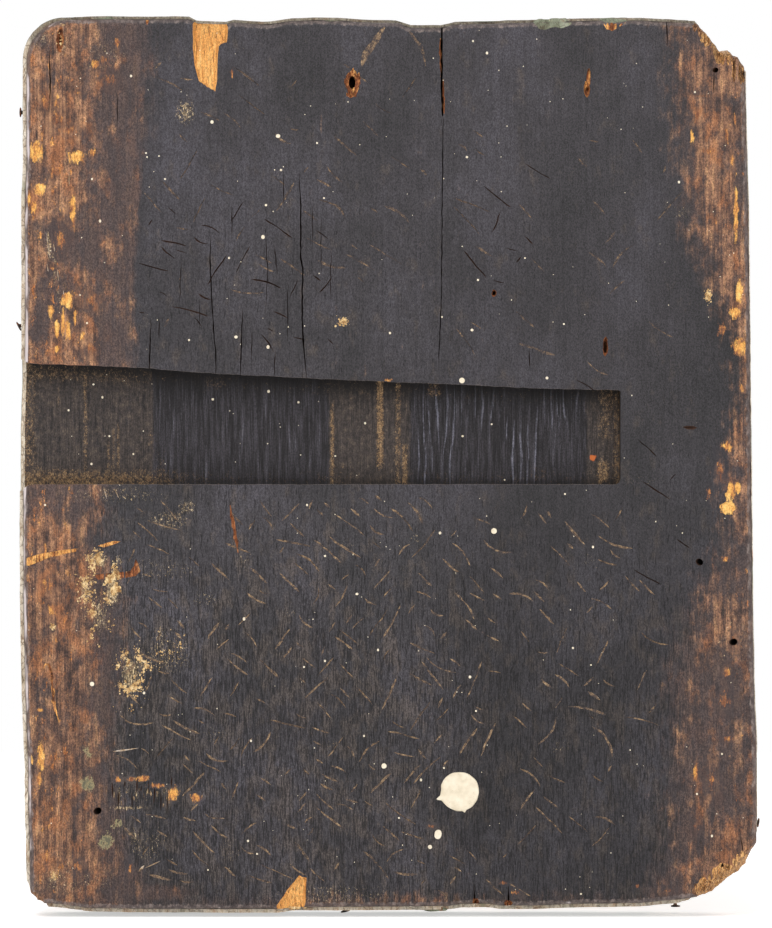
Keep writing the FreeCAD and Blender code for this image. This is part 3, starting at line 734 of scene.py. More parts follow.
mouth = np.clip((MOUTH_REACH - (groove_x - placed(24, 0)[0])) / MOUTH_REACH, 0, 1)
mouth_flare = 0.0014 * (1 - np.sqrt(1 - np.minimum(mouth, 0.999) ** 2))
blind = np.clip(BLIND_RADIUS - (groove_end - groove_x), 0, BLIND_RADIUS)
rounding = np.sqrt(BLIND_RADIUS ** 2 - blind ** 2)
lower_lip = lower_lip - mouth_flare + BLIND_RADIUS - rounding
upper_lip = upper_lip + mouth_flare * 0.5 - 0.35 * (BLIND_RADIUS - rounding)


def ripple(x, z):
    """The chisel's furrows across the right of the floor, from 0 in a furrow to 1 on the crest between."""
    phase = x / 0.0023 + 0.7 * drift(x, z, 0.005, 0.03, 72) + 0.22 * drift(x, z, 0.006, 0.008, 73)
    strength = 0.25 + 0.75 * eased(x, *placed((408, 422), 0)[0]) * eased(-x, *-placed((592, 578), 0)[0])
    strength = strength * (0.30 + 0.70 * eased(drift(x, z, 0.0046, 0.02, 74), -0.5, 0.5))
    return strength * (1 - 2 * abs(phase % 1 - 0.5)) ** 2


across_floor = np.linspace(0, 1, 21)
floor_shares = across_floor - 0.05 * np.sin(2 * math.pi * across_floor)
wall_depths = np.array([1.0, 0.8, 0.58, 0.34, 0.12])
lip_bevel = [(0.00012, 0.00002), (-0.0001, 0.00012), (-0.0003, 0.0003), (-0.0012, 0.0013)]
sections = []
for x, low, high, flare in zip(groove_x, lower_lip, upper_lip, mouth_flare):
    reach = GROOVE_DEPTH * UNDERCUT
    floor_z = low - reach + floor_shares * (high - low + 2 * reach)
    gouged = (0.00010 * drift(x, floor_z, 0.0011, 0.016, 63) - 0.00028 * ripple(x, floor_z)
              + 0.00005 * drift(x, floor_z, 0.0006, 0.006, 65))
    floor_y = BACK + GROOVE_DEPTH + gouged - 0.0006 * (1 - np.minimum(1, np.minimum(
        floor_z - floor_z[0], floor_z[-1] - floor_z) / 0.0014)) ** 2
    rows = [(x, y, z) for y, z in zip(floor_y, floor_z)]
    for side, lip in ((1, high), (-1, low)):
        wall = []
        for share in wall_depths[1:]:
            torn = 0.00006 * float(drift(x, share * 0.01, 0.001, 0.002, 66 + side))
            wall.append((x, BACK + share * GROOVE_DEPTH, lip + side * (share * reach + torn)))
        surface = float(back_at(x, lip))
        nick = 0.00016 * max(0.0, float(drift(x, lip, 0.0017, 0.01, 68 + side)) - 0.35)
        for rise, out in lip_bevel:
            wall.append((x, surface + rise, lip + side * (out + nick)))
        rows = rows + wall if side == 1 else rows + wall[::-1]
    sections.append(rows)
groove_stations = np.array(sections)
blind_wall = groove_stations[-1]
blind_wall[:, 0] += 0.00016 * drift(blind_wall[:, 2], blind_wall[:, 1], 0.0024, 0.004, 71)
carve(wood_panel, [lofted(groove_stations)], GROOVE)

# The picture field sunk into the front, which the ground and paint fill and hide.
field_low, field_high = (-0.086, 0.030), (0.086, 0.241)
field_slope, field_depth = 0.003, 0.002
front = BACK + BOARD_THICKNESS


def layer_spread(front_y):
    """How much narrower the sunk field is in a layer with its front at front_y than in the wood."""
    return (front - front_y) * math.tan(math.atan2(field_depth, field_slope) / 2)


def hollow(front_y):
    """A tool for the sunk field with sloping sides, in a layer with its front at front_y."""
    rings = []
    for y, draw in ((front_y - field_depth, field_slope), (front_y, 0.0), (front_y + 0.002, -field_slope)):
        draw -= layer_spread(front_y)
        low_x, low_z = field_low[0] + draw, field_low[1] + draw
        high_x, high_z = field_high[0] - draw, field_high[1] - draw
        rings.append([(low_x, y, low_z), (high_x, y, low_z), (high_x, y, high_z), (low_x, y, high_z)])
    return lofted(np.array(rings))


carve(wood_panel, [hollow(front)], BACK_FACE)

# Damage to the back: corners broken off, slivers split away, shrinkage cracks, the torn holes of
# nails pulled from a lost metal cover, and beetle holes. Each is cut into the board.
top_right_break = [(690, -40), (694, 21), (701, 29), (710, 37), (716, 45), (720, 51), (728, 51),
                   (738, 58), (744, 67), (747, 77), (749, 82), (800, 82), (800, -40)]
bottom_right_break = [(800, 826), (760, 828), (756, 843), (750, 853), (745, 864), (735, 873),
                      (724, 881), (714, 889), (705, 895), (690, 901), (678, 905), (660, 908),
                      (640, 960), (800, 960)]
bottom_left_break = [(-20, 870), (24, 874), (26, 884), (31, 893), (38, 898), (44, 903), (49, 914),
                     (52, 960), (-20, 960)]
STEP_HEIGHT = 0.0009


def broken(polygon, reach, swells, seed, comb):
    """Depth of a broken corner: right through beyond the break, and torn up to the back inside it.

    reach is how far the tear runs in from the break, swells are the places where it runs further, and
    comb is how far the torn fibres stand up in strands, from 0 to 1.
    """
    def depth(x, z):
        inwards = 0.0010 - signed_distance(x, z, polygon) - 0.0003 * drift(x, z, 0.0016, 0.0016, seed + 3)
        run = np.full(x.shape, reach)
        for column, row, radius, extra in swells:
            swell_x, swell_z = placed(column, row)
            run = run + extra * np.exp(-((x - swell_x) ** 2 + (z - swell_z) ** 2) / (radius * ELEMENT) ** 2)
        strand = comb * (drift(x, z, 0.0009, 0.010, seed) + 0.7 * drift(x, z, 0.0004, 0.003, seed + 1))
        strand += (1 - comb) * (drift(x, z, 0.0022, 0.0026, seed + 2)
                                + 0.5 * drift(x, z, 0.0007, 0.0010, seed + 5))
        run = np.maximum(run * (0.95 + 0.55 * strand), 0.0004)
        share = inwards / run
        slope = 0.0105 * np.sign(1 - share) * abs(1 - share) ** 2.1
        level = np.floor(slope / STEP_HEIGHT) * STEP_HEIGHT
        torn = 0.45 * slope + 0.55 * (level + STEP_HEIGHT / 2) + 0.00040 * strand
        return np.where(inwards < 0, 0.011 - inwards * 40, np.where(share < 1, torn, slope * 0.6))

    return depth


carve(wood_panel, [
    scoop((680, 770), (0, 100), broken(top_right_break, 0.0018, [
        (709, 42, 9, 0.0030), (722, 58, 9, 0.0034), (738, 74, 11, 0.0044)], 81, 0.8), 0.0003, 0.0004),
    scoop((640, 770), (822, 930), broken(bottom_right_break, 0.0014, [
        (738, 862, 14, 0.0040), (722, 874, 15, 0.0052), (706, 886, 13, 0.0046)], 84, 0.25), 0.0003, 0.0004),
    scoop((8, 62), (866, 930), broken(bottom_left_break, 0.0012, [(36, 884, 9, 0.0012)], 87, 0.7),
          0.0003, 0.0005)], BARE)

top_sliver = [(192, 0), (192.5, 22), (193, 50), (194.5, 66), (199, 81), (207, 87), (215.5, 91.5), (217, 80),
              (218.5, 46), (222, 43.5), (227, 42), (228.5, 22), (229, 0)]
top_nick = [(138, 0), (139, 15), (143, 19), (147, 25), (152, 17), (154, 0)]
bottom_sliver = [(274, 930), (276, 906), (283, 897), (287, 890), (294, 882), (299, 875.5), (306.5, 877.5),
                 (305.5, 905), (306, 930)]


def sliver(polygon, tip_depth, edge_depth, tip_row, edge_row, seed):
    """Depth of a split-off sliver: shallow at its tip, deeper where it ran out at the panel's edge."""
    def depth(x, z):
        row = FOOT_ROW - z / ELEMENT
        share = np.clip((row - tip_row) / (edge_row - tip_row), 0, 1.3)
        fibres = 0.00022 * drift(x, z, 0.0006, 0.02, seed) + 0.00009 * drift(x, z, 0.00025, 0.01, seed + 1)
        floor = tip_depth + (edge_depth - tip_depth) * share + fibres
        wall = signed_distance(x + 0.00012 * drift(x, z, 0.001, 0.002, seed + 2), z, polygon) * 2.4
        return np.minimum(floor, wall)

    return depth


carve(wood_panel, [
    scoop((188, 234), (2, 98), sliver(top_sliver, 0.00035, 0.0022, 91, 18, 91), 0.0003, 0.0007),
    scoop((134, 158), (2, 30), sliver(top_nick, 0.0002, 0.0014, 25, 15, 94), 0.0003, 0.0004),
    scoop((270, 312), (868, 926), sliver(bottom_sliver, 0.0003, 0.0017, 876, 908, 97), 0.0003, 0.0006)], BARE)


def crater(column, row, half_width, half_height, rim_depth, core, core_depth, seed):
    """Depth of a torn hole: a ragged oval crater with a deeper hole near its middle."""
    middle_x, middle_z = placed(column, row)

    def depth(x, z):
        ragged = 1 + 0.22 * drift(x, z, 0.0009, 0.0022, seed) + 0.16 * drift(x, z, 0.0004, 0.0007, seed + 4)
        across, along = (x - middle_x) / (half_width * ELEMENT), (z - middle_z) / (half_height * ELEMENT)
        away = np.hypot(across, along) * ragged
        core_away = np.hypot(across / core[0], along / core[1])
        pit = core_depth * np.clip((1 - core_away) * 6, -1, 1)
        fibres = 0.00018 * drift(x, z, 0.0004, 0.004, seed + 1)
        return np.maximum(np.minimum(rim_depth + fibres, (1 - away) * rim_depth * 3.2), pit)

    return scoop((column - half_width * 1.5, column + half_width * 1.5),
                 (row - half_height * 1.4, row + half_height * 1.4), depth, 0.0002, 0.0003)


carve(wood_panel, [
    crater(352, 82, 7.5, 12.5, 0.0011, (0.42, 0.5), 0.009, 101),
    crater(587, 89, 3.4, 8.5, 0.0013, (0.35, 0.25), 0.003, 103),
    crater(605.5, 347, 2.8, 10.5, 0.0016, (0.5, 0.6), 0.004, 105),
    crater(494, 293, 2.4, 3.6, 0.0012, (0.6, 0.6), 0.005, 107),
    crater(60, 40, 3.6, 13, 0.0008, (0.25, 0.3), 0.002, 109),
    crater(475.5, 903.0, 3.0, 4.2, 0.0020, (0.2, 0.4), 0.003, 115),
    crater(508, 904.0, 4.4, 3.8, 0.0020, (0.12, 0.5), 0.003, 117)], BARE)
carve(wood_panel, [crater(588.6, 77, 2.1, 9, 0.0008, (0.01, 0.01), 0.0005, 113)], BARE)
carve(wood_panel, [crater(722.5, 866, 1.5, 3.0, 0.0012, (0.5, 0.5), 0.002, 119)], DARK)

beetle_holes = [(97, 811, 3.3), (699, 562, 3.1), (733, 642, 3.3), (715, 70, 2.4), (351, 85, 2.2)]


def turns(count):
    """Angles evenly round a circle."""
    return np.linspace(0, 2 * math.pi, count, endpoint=False)


def bored(column, row, radius):
    """A tool for a beetle's exit hole, not quite round and slightly winding."""
    x, z = placed(column, row)
    turn = turns(20)
    stations = []
    for y in np.linspace(-0.003, 0.0075, 12):
        size = radius * ELEMENT * (1 + 0.10 * np.sin(2 * turn + row) + (0.25 if y < 0.0004 else 0.0))
        wind = 0.004 + 0.00035 * math.sin(y * 500 + column)
        stations.append(np.stack([x + wind * max(y, 0) * 100 + size * np.cos(turn),
                                  np.full(20, BACK + y), z + size * np.sin(turn)], -1))
    return lofted(np.array(stations))


carve(wood_panel, [bored(*hole) for hole in beetle_holes], DARK)

long_crack = [(441.2, 8), (441.4, 22), (441.9, 45), (442.2, 70), (441.7, 90), (442.4, 116)]
long_crack_tail = [(443.2, 114), (442.6, 170), (442, 230), (441.5, 300), (439.5, 345), (438, 372)]
cracks = [
    (1.5, 0.0030, [(299, 172), (301, 212), (300.5, 255), (303, 270), (302, 312), (303, 340),
                   (307, 384)], 0.2),
    (1.2, 0.0025, [(211, 232), (210, 262), (212, 305), (214, 337), (216, 350), (215.5, 378)], 0.2),
    (1.1, 0.0022, [(242.5, 308), (242, 330), (240, 380)], 0.3),
    (1.3, 0.0022, [(151, 318), (150, 345), (149.5, 374)], 0.3),
    (0.9, 0.0015, [(288, 284), (287.5, 312), (287.5, 342)], 0.4),
    (0.8, 0.0012, [(283, 170), (284, 206)], 0.4),
    (0.8, 0.0012, [(266, 232), (267.5, 275), (265.5, 314)], 0.4),
    (0.7, 0.0010, [(321, 218), (321, 276)], 0.4),
    (0.9, 0.0012, [(274, 244), (277.5, 276)], 0.4),
    (0.8, 0.0010, [(275, 350), (274.5, 381)], 0.3),
    (0.7, 0.0009, [(199.5, 298), (199.5, 329)], 0.4),
    (0.8, 0.0009, [(159, 318), (159, 339)], 0.4),
    (1.3, 0.0022, [(666.5, 8), (667, 22), (667.4, 46)], 0.3),
    (1.7, 0.0014, [(49.5, 50), (50, 80), (49.5, 112)], 0.4),
    (2.0, 0.0025, [(474, 884), (474.5, 898), (474, 918)], 0.5),
    (2.2, 0.0028, [(508, 884), (508.5, 898), (508, 918)], 0.5),
    (1.0, 0.0014, [(714.5, 73), (713.5, 92)], 0.3),
    (4.2, 0.0006, [(683, 427), (697, 427.5)], 0.3),
    (1.3, 0.0016, [(529.5, 350), (529.5, 367)], 0.4),
    (1.3, 0.0018, [(740.5, 836), (743, 852)], 0.4),
    (0.9, 0.0012, [(117, 90), (117.5, 128)], 0.4),
    (0.8, 0.0010, [(181, 262), (180, 300)], 0.4),
    (0.8, 0.0010, [(252, 330), (251, 362)], 0.4),
    (0.8, 0.0010, [(312, 205), (313, 244)], 0.4),
    (0.8, 0.0010, [(331, 250), (330.5, 300)], 0.4),
    (1.0, 0.0012, [(232, 205), (232, 236)], 0.4),
]
carve(wood_panel, [split(long_crack, 1.7, 0.0060, 0.00014, 120, 0.0)]
      + [split(points, width, depth, 0.00014, 126 + 3 * i, taper)
         for i, (width, depth, points, taper) in enumerate(cracks)], DARK)
carve(wood_panel, [split(long_crack_tail, 0.85, 0.0030, 0.00012, 300, 0.1)], DARK)

# Bare places on the back, where the stain has flaked or been rubbed or scored down to the wood.
# Each line holds a place in the picture, half its width and height there, and how fresh it is.
flecks = [
    (56, 104, 5, 6.5, 1.0), (36, 152, 6, 8, 0.9), (76, 157, 7, 5, 0.85), (92, 152, 4, 4, 0.6),
    (40, 189, 4.5, 5, 0.9), (33, 206, 3, 6, 0.8), (72.5, 212, 3.0, 17, 0.7), (29, 198, 2, 8, 0.6),
    (68, 300, 6, 7, 0.9), (51, 311, 2.5, 6, 0.8), (57, 329, 2.2, 8, 0.9), (63, 322, 1.8, 12, 0.8),
    (68, 330, 2.0, 9, 0.9), (75, 318, 1.6, 8, 0.7), (83, 338, 2.0, 5, 0.9), (92, 348, 7, 9, 0.35),
    (57, 349, 2.2, 3, 0.8), (117, 44, 3, 6, 0.5), (95, 64, 3.5, 5, 0.6), (104, 60, 3, 4, 0.5),
    (98, 75, 3, 4, 0.4), (77, 93, 5, 3, 0.3), (52, 268, 4, 3, 0.3), (52, 172, 2, 9, 0.5),
    (692, 137, 1.6, 7, 0.8), (697, 118, 5, 9, 0.35), (704, 96, 15, 1.2, 0.6), (708, 151, 11, 4, 0.35),
    (736, 214, 2.0, 24, 0.8), (739, 292, 2.6, 10, 0.9), (735, 313, 5, 5, 0.8), (740, 347, 6, 8, 0.8),
    (747, 275, 2, 7, 0.7), (727, 447, 6, 6, 0.6), (730, 491, 4, 7, 1.0), (728, 508, 6, 5, 1.0),
    (738, 488, 2.2, 5, 0.9), (709, 494, 3, 8, 0.4), (725, 559, 4, 3, 0.5), (742, 388, 4, 7, 0.35),
    (696, 772, 3.5, 10, 0.6), (727, 673, 5, 9, 0.35), (728, 739, 7, 4, 0.35), (697, 828, 6, 7, 0.35),
    (667, 891, 11, 3.5, 0.3), (637, 886, 3, 3, 0.3), (41, 757, 3.2, 13, 0.8), (29, 761, 3.5, 5, 0.9),
    (39.5, 710, 4, 2, 0.6), (51, 757, 1.4, 5, 0.5), (39, 780, 2.8, 8, 0.65), (56, 640, 2, 6, 0.4),
    (45, 548, 1.6, 6, 0.5), (29, 478, 3.0, 5, 0.5), (732, 160, 2, 7, 0.5), (727, 135, 2.5, 9, 0.5),
    (735, 118, 1.6, 8, 0.5), (716, 222, 2, 5, 0.3), (388.5, 380, 5.5, 2.6, 0.35), (130, 868, 3, 9, 0.35),
    (78, 868, 6, 8, 0.3), (431, 826.5, 5, 3, 0.3), (516, 892, 8, 5, 0.1), (504, 883, 5, 2.5, 0.35),
    (118, 780, 4, 3.5, 0.5), (131, 779.5, 5, 3, 0.5), (143, 778.5, 6, 3, 0.7), (232, 74, 3.5, 9, 0.2),
    (173, 794, 5, 7, 0.7),
    (196, 798, 6, 5, 0.6), (157, 785.5, 9, 3.2, 0.45), (58, 120, 10, 12, 0.3),
    (60, 240, 8, 16, 0.3), (48, 585, 10, 10, 0.3), (52, 610, 6, 8, 0.4), (720, 470, 6, 14, 0.3),
    (725, 700, 10, 12, 0.25), (712, 780, 8, 16, 0.2), (45, 100, 6, 14, 0.35), (110, 80, 10, 8, 0.25),
    (70, 130, 14, 8, 0.25), (90, 300, 10, 8, 0.3), (722, 330, 5, 10, 0.4), (734, 640, 4, 10, 0.3),
]


def ragged_round(turn, broad, fine, fineness, seed):
    """How far a ragged round outline stands out at each angle: 1, with a broad waver and a fine one."""
    c, s = np.cos(turn), np.sin(turn)
    return 1 + broad * drift(c, s, 0.5, 0.5, seed) + fine * drift(c, s, fineness, fineness, seed + 1)


def flaked(column, row, half_width, half_height, seed):
    """A tool for one shallow ragged flake, longer along the grain."""
    x, z = placed(column, row)
    turn = turns(18)
    rough = ragged_round(turn, 0.30, 0.18, 0.2, seed)
    rings = []
    for share, depth in ((1.6, -0.0003), (1.5, 0.00002), (1.1, 0.00007), (0.7, 0.00013), (0.25, 0.00017)):
        ring_x = x + np.cos(turn) * half_width * ELEMENT * rough * share
        ring_z = z + np.sin(turn) * half_height * ELEMENT * rough * share
        rings.append(np.stack([ring_x, back_at(ring_x, ring_z) + depth, ring_z], -1))
    return lofted(np.array(rings))


def spread_out(items, reach):
    """Sorts tools into sets in which none comes near another, given each one's place and reach."""
    sets = []
    for item in items:
        x, z, size = reach(item)
        for group in sets:
            if all(math.hypot(x - a, z - b) > size + s for a, b, s, _ in group):
                group.append((x, z, size, item))
                break
        else:
            sets.append([(x, z, size, item)])
    return [[item for *_, item in group] for group in sets]


def carve_apart(body, items, reach, tool, finish=0):
    """Carves a tool for each item, in rounds in which none comes near another.

    reach gives the place and size of an item, and tool gets the item and its number.
    """
    for group in spread_out(list(enumerate(items)), lambda numbered: reach(numbered[1])):
        carve(body, [tool(item, i) for i, item in group], finish)


carve_apart(wood_panel, flecks, lambda fleck: (fleck[0], fleck[1], max(fleck[2:4]) * 1.9),
            lambda fleck, i: flaked(*fleck[:4], 400 + 2 * i), FLAKED)

scores = [
    (2.4, 0.0009, [(440.3, 38), (440.5, 58), (440.9, 77)]),
    (2.4, 0.0009, [(443.0, 79), (443.0, 95), (443.6, 114)]),
    (3.0, 0.0004, [(229.5, 505), (234, 528), (238, 553)]),
    (3.0, 0.0002, [(43.5, 670), (45, 664.5), (49, 665), (51.5, 673), (52.5, 690), (54, 702), (59, 723)]),
]
carve(wood_panel, [split(points, width, depth, 0.00018, 500 + 3 * i) for i, (width, depth, points)
                   in enumerate(scores)], BARE)
rubbed_streaks = [
    [(21, 560), (30, 556.5), (42, 553.5), (56, 551), (70, 549), (78, 548.5), (77, 551.5), (66, 553.5),
     (58, 556), (50, 557), (40, 561.5), (30, 565.5), (22, 567)],
    [(97, 546), (104, 543.5), (113, 541), (121, 541.5), (112, 545), (104, 547.5)],
    [(92, 575), (104, 573.5), (118, 572.5), (130, 571), (134, 566), (135.5, 559), (138, 563), (140, 571),
     (136, 576), (124, 578), (110, 578), (98, 580)],
    [(601, 20), (606, 29), (612, 31), (619, 27), (631, 20), (629, 15), (602, 16)]]
carve(wood_panel, [scoop((min(c for c, _ in line) - 3, max(c for c, _ in line) + 3),
                         (min(r for _, r in line) - 3, max(r for _, r in line) + 3),
                         sliver(line, 0.00016, 0.00016, 0, 1, 540 + 3 * i), 0.0002, 0.0002)
                   for i, line in enumerate(rubbed_streaks)], BARE)
chalked = [(1.3, [(113, 751.5), (126, 750), (139, 748)]), (0.9, [(103.5, 487), (107, 499)]),
           (0.9, [(114, 489), (119, 498)]), (0.8, [(46, 232), (50, 258)]), (1.2, [(145, 868), (160, 861)]),
           (5.6, [(388, 21), (378, 37.5), (366, 54), (361, 68)]), (1.0, [(47, 264), (48.5, 272)]),
           (2.8, [(407, 28), (414, 38), (421, 46), (426, 66)]),
           (1.2, [(53.5, 243), (55, 252)]), (0.9, [(57, 268), (59, 281)]), (0.9, [(66.5, 151), (69, 163)]),
           (0.8, [(69, 172), (69.5, 186)]), (0.8, [(63, 290), (65, 303)])]
carve(wood_panel, [split(points, width, 0.0002, 0.00012, 550 + 3 * i, 0.3, 0.0006)
                   for i, (width, points) in enumerate(chalked)], SCRATCH)

# A patch scraped with the corner of a chisel: short upright cuts, close together and all unlike,
# with a pale burr beside some of them.
chance = np.random.default_rng(61)
scraped, burrs, column = [], [], 112.0
while column < 172:
    high = chance.uniform(776, 792)
    scraped.append([(column, high), (column + chance.uniform(-1.2, 1.2), high + chance.uniform(6, 20))])
    burr = high + chance.uniform(3, 12)
    burrs.append([(column + 2.0, burr), (column + chance.uniform(1.4, 3.0), burr + chance.uniform(3, 7))])
    column += chance.uniform(3.4, 7.0)
carve(wood_panel, [split(points, chance.uniform(0.9, 1.5), 0.0004, 0.0001, 560 + 3 * i, 0.3)
                   for i, points in enumerate(scraped)], DARK)
carve(wood_panel, [split(points, chance.uniform(0.9, 1.6), 0.0002, 0.0001, 590 + 3 * i, 0.3)
                   for i, points in enumerate(burrs)], SCRATCH)

# Scuffs all over the stained middle: separate slanting strokes scored with a point, none touching
# another. Each patch holds its corners in the picture, how many strokes it has and their finish.
scuff_patches = [
    (150, 60, 280, 330, 22, SCRATCH), (280, 60, 430, 300, 25, SCRATCH), (455, 130, 545, 350, 12, SCRATCH),
    (575, 140, 670, 370, 12, SCRATCH), (140, 180, 335, 350, 30, DARK), (455, 170, 540, 330, 8, DARK),
    (130, 505, 260, 700, 36, SCRATCH), (250, 500, 350, 650, 30, SCRATCH), (340, 495, 440, 650, 28, SCRATCH),
    (430, 515, 500, 680, 18, SCRATCH), (520, 495, 620, 650, 20, SCRATCH), (590, 560, 655, 730, 10, SCRATCH),
    (125, 700, 250, 885, 40, SCRATCH), (250, 650, 345, 880, 34, SCRATCH), (330, 650, 430, 885, 34, SCRATCH),
    (420, 660, 490, 765, 10, SCRATCH), (520, 650, 620, 840, 24, SCRATCH), (395, 850, 520, 895, 9, SCRATCH),
    (590, 380, 700, 640, 6, DARK),
]
APART = 6.0
chance = np.random.default_rng(23)
scuffs, taken = {SCRATCH: [], DARK: []}, np.zeros((0, 2))
for left, high, right, low, count, finish in scuff_patches:
    for _ in range(count * 3):
        if count == 0:
            break
        column, row = chance.uniform(left, right), chance.uniform(high, low)
        steep = chance.choice([chance.uniform(-52, -26), chance.uniform(-24, -8), chance.uniform(40, 68)],
                              p=[0.55, 0.15, 0.30])
        length = chance.choice([chance.uniform(7, 15), chance.uniform(15, 27), chance.uniform(27, 40)],
                               p=[0.35, 0.4, 0.25])
        bend = chance.uniform(-0.6, 0.6) * chance.choice([0.2, 1.0])
        reach = np.linspace(-0.5, 0.5, 5)
        heading = np.radians(steep) + bend * 2 * reach
        walk = np.cumsum(np.stack([np.cos(heading), -np.sin(heading)], -1) * length / 4, axis=0)
        line = walk - walk[2] + (column, row)
        if len(taken) and np.hypot(*(line[:, None] - taken[None]).transpose(2, 0, 1)).min() < APART:
            continue
        if 104 < column < 186 and 764 < row < 812:
            continue
        taken = np.concatenate([taken, line, (line[1:] + line[:-1]) / 2])
        count -= 1
        width = chance.uniform(0.8, 1.3) if finish == DARK else chance.uniform(1.1, 2.2)
        depth = chance.uniform(0.0003, 0.0006) if finish == DARK else chance.uniform(0.0001, 0.0002)
        scuffs[finish].append((line, width, depth))
for finish, strokes in scuffs.items():
    carve(wood_panel, [split(line, width, depth, 0.00018, 600 + 3 * i, 0.12, 0.0011)
                       for i, (line, width, depth) in enumerate(strokes)], finish)

# What the board's finishes read off its points: where the stain has worn brown, flaked or opened, how
# deep a point lies below the back, where the groove is dusty, where painted shade falls under its upper lip
# and along its floor's lower corner, and where painted highlights lie on the lips, the ripple crests and the
# rim.
left_wear = side_line([
    (150, 10), (150, 40), (146, 100), (143, 180), (137, 250), (134, 340), (134, 362), (110, 484),
    (100, 540), (112, 562), (124, 600), (121, 650), (118, 700), (112, 750), (114, 800), (128, 850),
    (150, 900)], True)
right_wear = side_line([
    (640, 10), (668, 30), (676, 100), (680, 200), (688, 250), (712, 300), (734, 345), (738, 400),
    (728, 430), (720, 490), (722, 545), (692, 590), (672, 650), (666, 700), (664, 760), (662, 850),
    (640, 900)], True)


def paint_on(body, name, values):
    """Gives each point of a body a value, which its finish reads by the name."""
    layer = body.data.attributes.new(name, "FLOAT", "POINT")
    layer.data.foreach_set("value", np.asarray(values, np.float32))


def points_of(body):
    places = np.zeros(len(body.data.vertices) * 3)
    body.data.vertices.foreach_get("co", places)
    return places.reshape(-1, 3).T


x, y, z = points_of(wood_panel)
column, row = x / ELEMENT + MIDDLE_COLUMN, FOOT_ROW - z / ELEMENT
into = y - back_at(x, z)
straight = eased(row, 130, 175) * eased(362 - row, 0, 40)
inwards = np.interp(z, *left_wear) - x
worn_left = eased(inwards, -0.009 + 0.0070 * straight, 0.010 - 0.0070 * straight)
worn_right = eased(x - np.interp(z, *right_wear), -0.010, 0.012)
worn_foot = eased(0.011 - z, 0, 0.011) * 0.6
in_groove = (into > 0.0012) & (into < 0.0095) & (row > 355) & (row < 495) & (column < 625)


def patches(*spots):
    """Soft oval patches over the back: column, row, half width, half height and strength of each."""
    return np.maximum.reduce([strength * eased(1.15 - np.hypot((column - a) / w, (row - b) / h), 0, 0.8)
                              for a, b, w, h, strength in spots])


groove_brown = np.maximum.reduce([
    eased(152 - column, -4, 4), eased(column - 328, -2, 3) * eased(412 - column, -2, 4),
    eased(column - 586, -4, 6)])
worn_edges = np.maximum.reduce([worn_left, worn_right * 0.8, worn_foot, patches((150, 893, 64, 12, 0.8))])
brown = np.where(in_groove, np.where(column < 200, 0.55, 0.62) * groove_brown, worn_edges)
paint_on(wood_panel, "brown", brown)
rust_in_groove = patches((594, 458, 5, 6, 1.0), (602, 470, 4, 7, 0.5), (207, 408, 5, 5, 0.6))
paint_on(wood_panel, "fleck", np.where(in_groove, rust_in_groove, np.maximum(
    worn_left * eased(96 - column, -30, 40), worn_right * 0.9 * eased(column - 712, -10, 30))))
paint_on(wood_panel, "flake", patches(
    (113, 588, 9, 24, 1.3), (99, 561, 12, 11, 1.15), (118, 562, 8, 8, 0.9), (86, 588, 9, 18, 0.95),
    (100, 616, 11, 24, 0.85),
    (130, 676, 13, 24, 1.2), (142, 664, 10, 8, 1.0), (170, 655, 40, 28, 0.62), (160, 640, 8, 22, 0.8),
    (185, 112, 14, 16, 0.85), (170, 520, 30, 13, 0.72), (188, 506, 12, 10, 0.8), (160, 570, 50, 16, 0.5),
    (112, 495, 70, 12, 0.55), (49, 245, 4, 24, 0.95), (55, 270, 3, 26, 0.8), (59, 300, 3, 30, 0.7),
    (66, 165, 3, 24, 0.7), (119, 795, 2.4, 11, 1.1), (128, 790, 2.4, 10, 1.0), (137, 796, 2.2, 10, 1.0),
    (147, 792, 2.4, 9, 1.0), (158, 796, 2.4, 8, 1.0), (165, 790, 2.6, 6, 1.2), (128, 808, 26, 4, 0.95),
    (148, 845, 30, 22, 0.6), (134, 836, 5, 12, 0.95), (118, 825, 5, 6, 0.9), (72, 880, 60, 22, 0.55),
    (52, 878, 6, 9, 0.95), (680, 212, 14, 12, 0.5), (62, 42, 9, 20, 0.7), (40, 36, 20, 18, 0.6),
    (105, 60, 30, 30, 0.5), (640, 480, 30, 8, 0.35), (730, 640, 20, 60, 0.45), (205, 600, 20, 12, 0.5),
    (245, 560, 14, 10, 0.5), (290, 612, 12, 9, 0.45), (348, 545, 12, 9, 0.45), (412, 540, 14, 11, 0.5),
    (330, 745, 16, 12, 0.45), (215, 735, 18, 14, 0.5), (400, 800, 12, 10, 0.4), (560, 745, 16, 10, 0.45),
    (440, 640, 14, 12, 0.4), (330, 895, 90, 14, 0.6), (590, 560, 14, 10, 0.4), (230, 850, 16, 20, 0.5)))
paint_on(wood_panel, "lichen", patches(
    (87.5, 783, 9, 9, 0.95), (106, 842, 8, 9, 0.95), (87.5, 752, 6, 6, 0.62), (117, 825, 5, 5.5, 0.62)))
faded = np.maximum(eased(column, 66, 120) * (column < 300),
                   eased(730 - column, 0, 50) * (column > 500) * (0.30 + 0.60 * eased(row, 150, 270)))
paint_on(wood_panel, "soot", np.maximum(faded, patches(
    (40, 40, 30, 30, 0.3), (60, 500, 60, 26, 1.0), (150, 740, 30, 120, 0.8), (735, 560, 24, 70, 0.8),
    (620, 890, 120, 20, 0.8), (120, 110, 34, 110, 0.85), (80, 890, 70, 16, 0.3), (74, 240, 40, 46, 1.1),
    (58, 285, 26, 34, 1.0), (42, 325, 13, 46, 0.8), (712, 730, 60, 130, 0.85), (45, 700, 14, 30, 0.6),
    (740, 200, 8, 90, 0.7), (700, 40, 16, 30, 0.6), (735, 95, 14, 22, 0.4))))
left_half = eased(column, 520, 380)
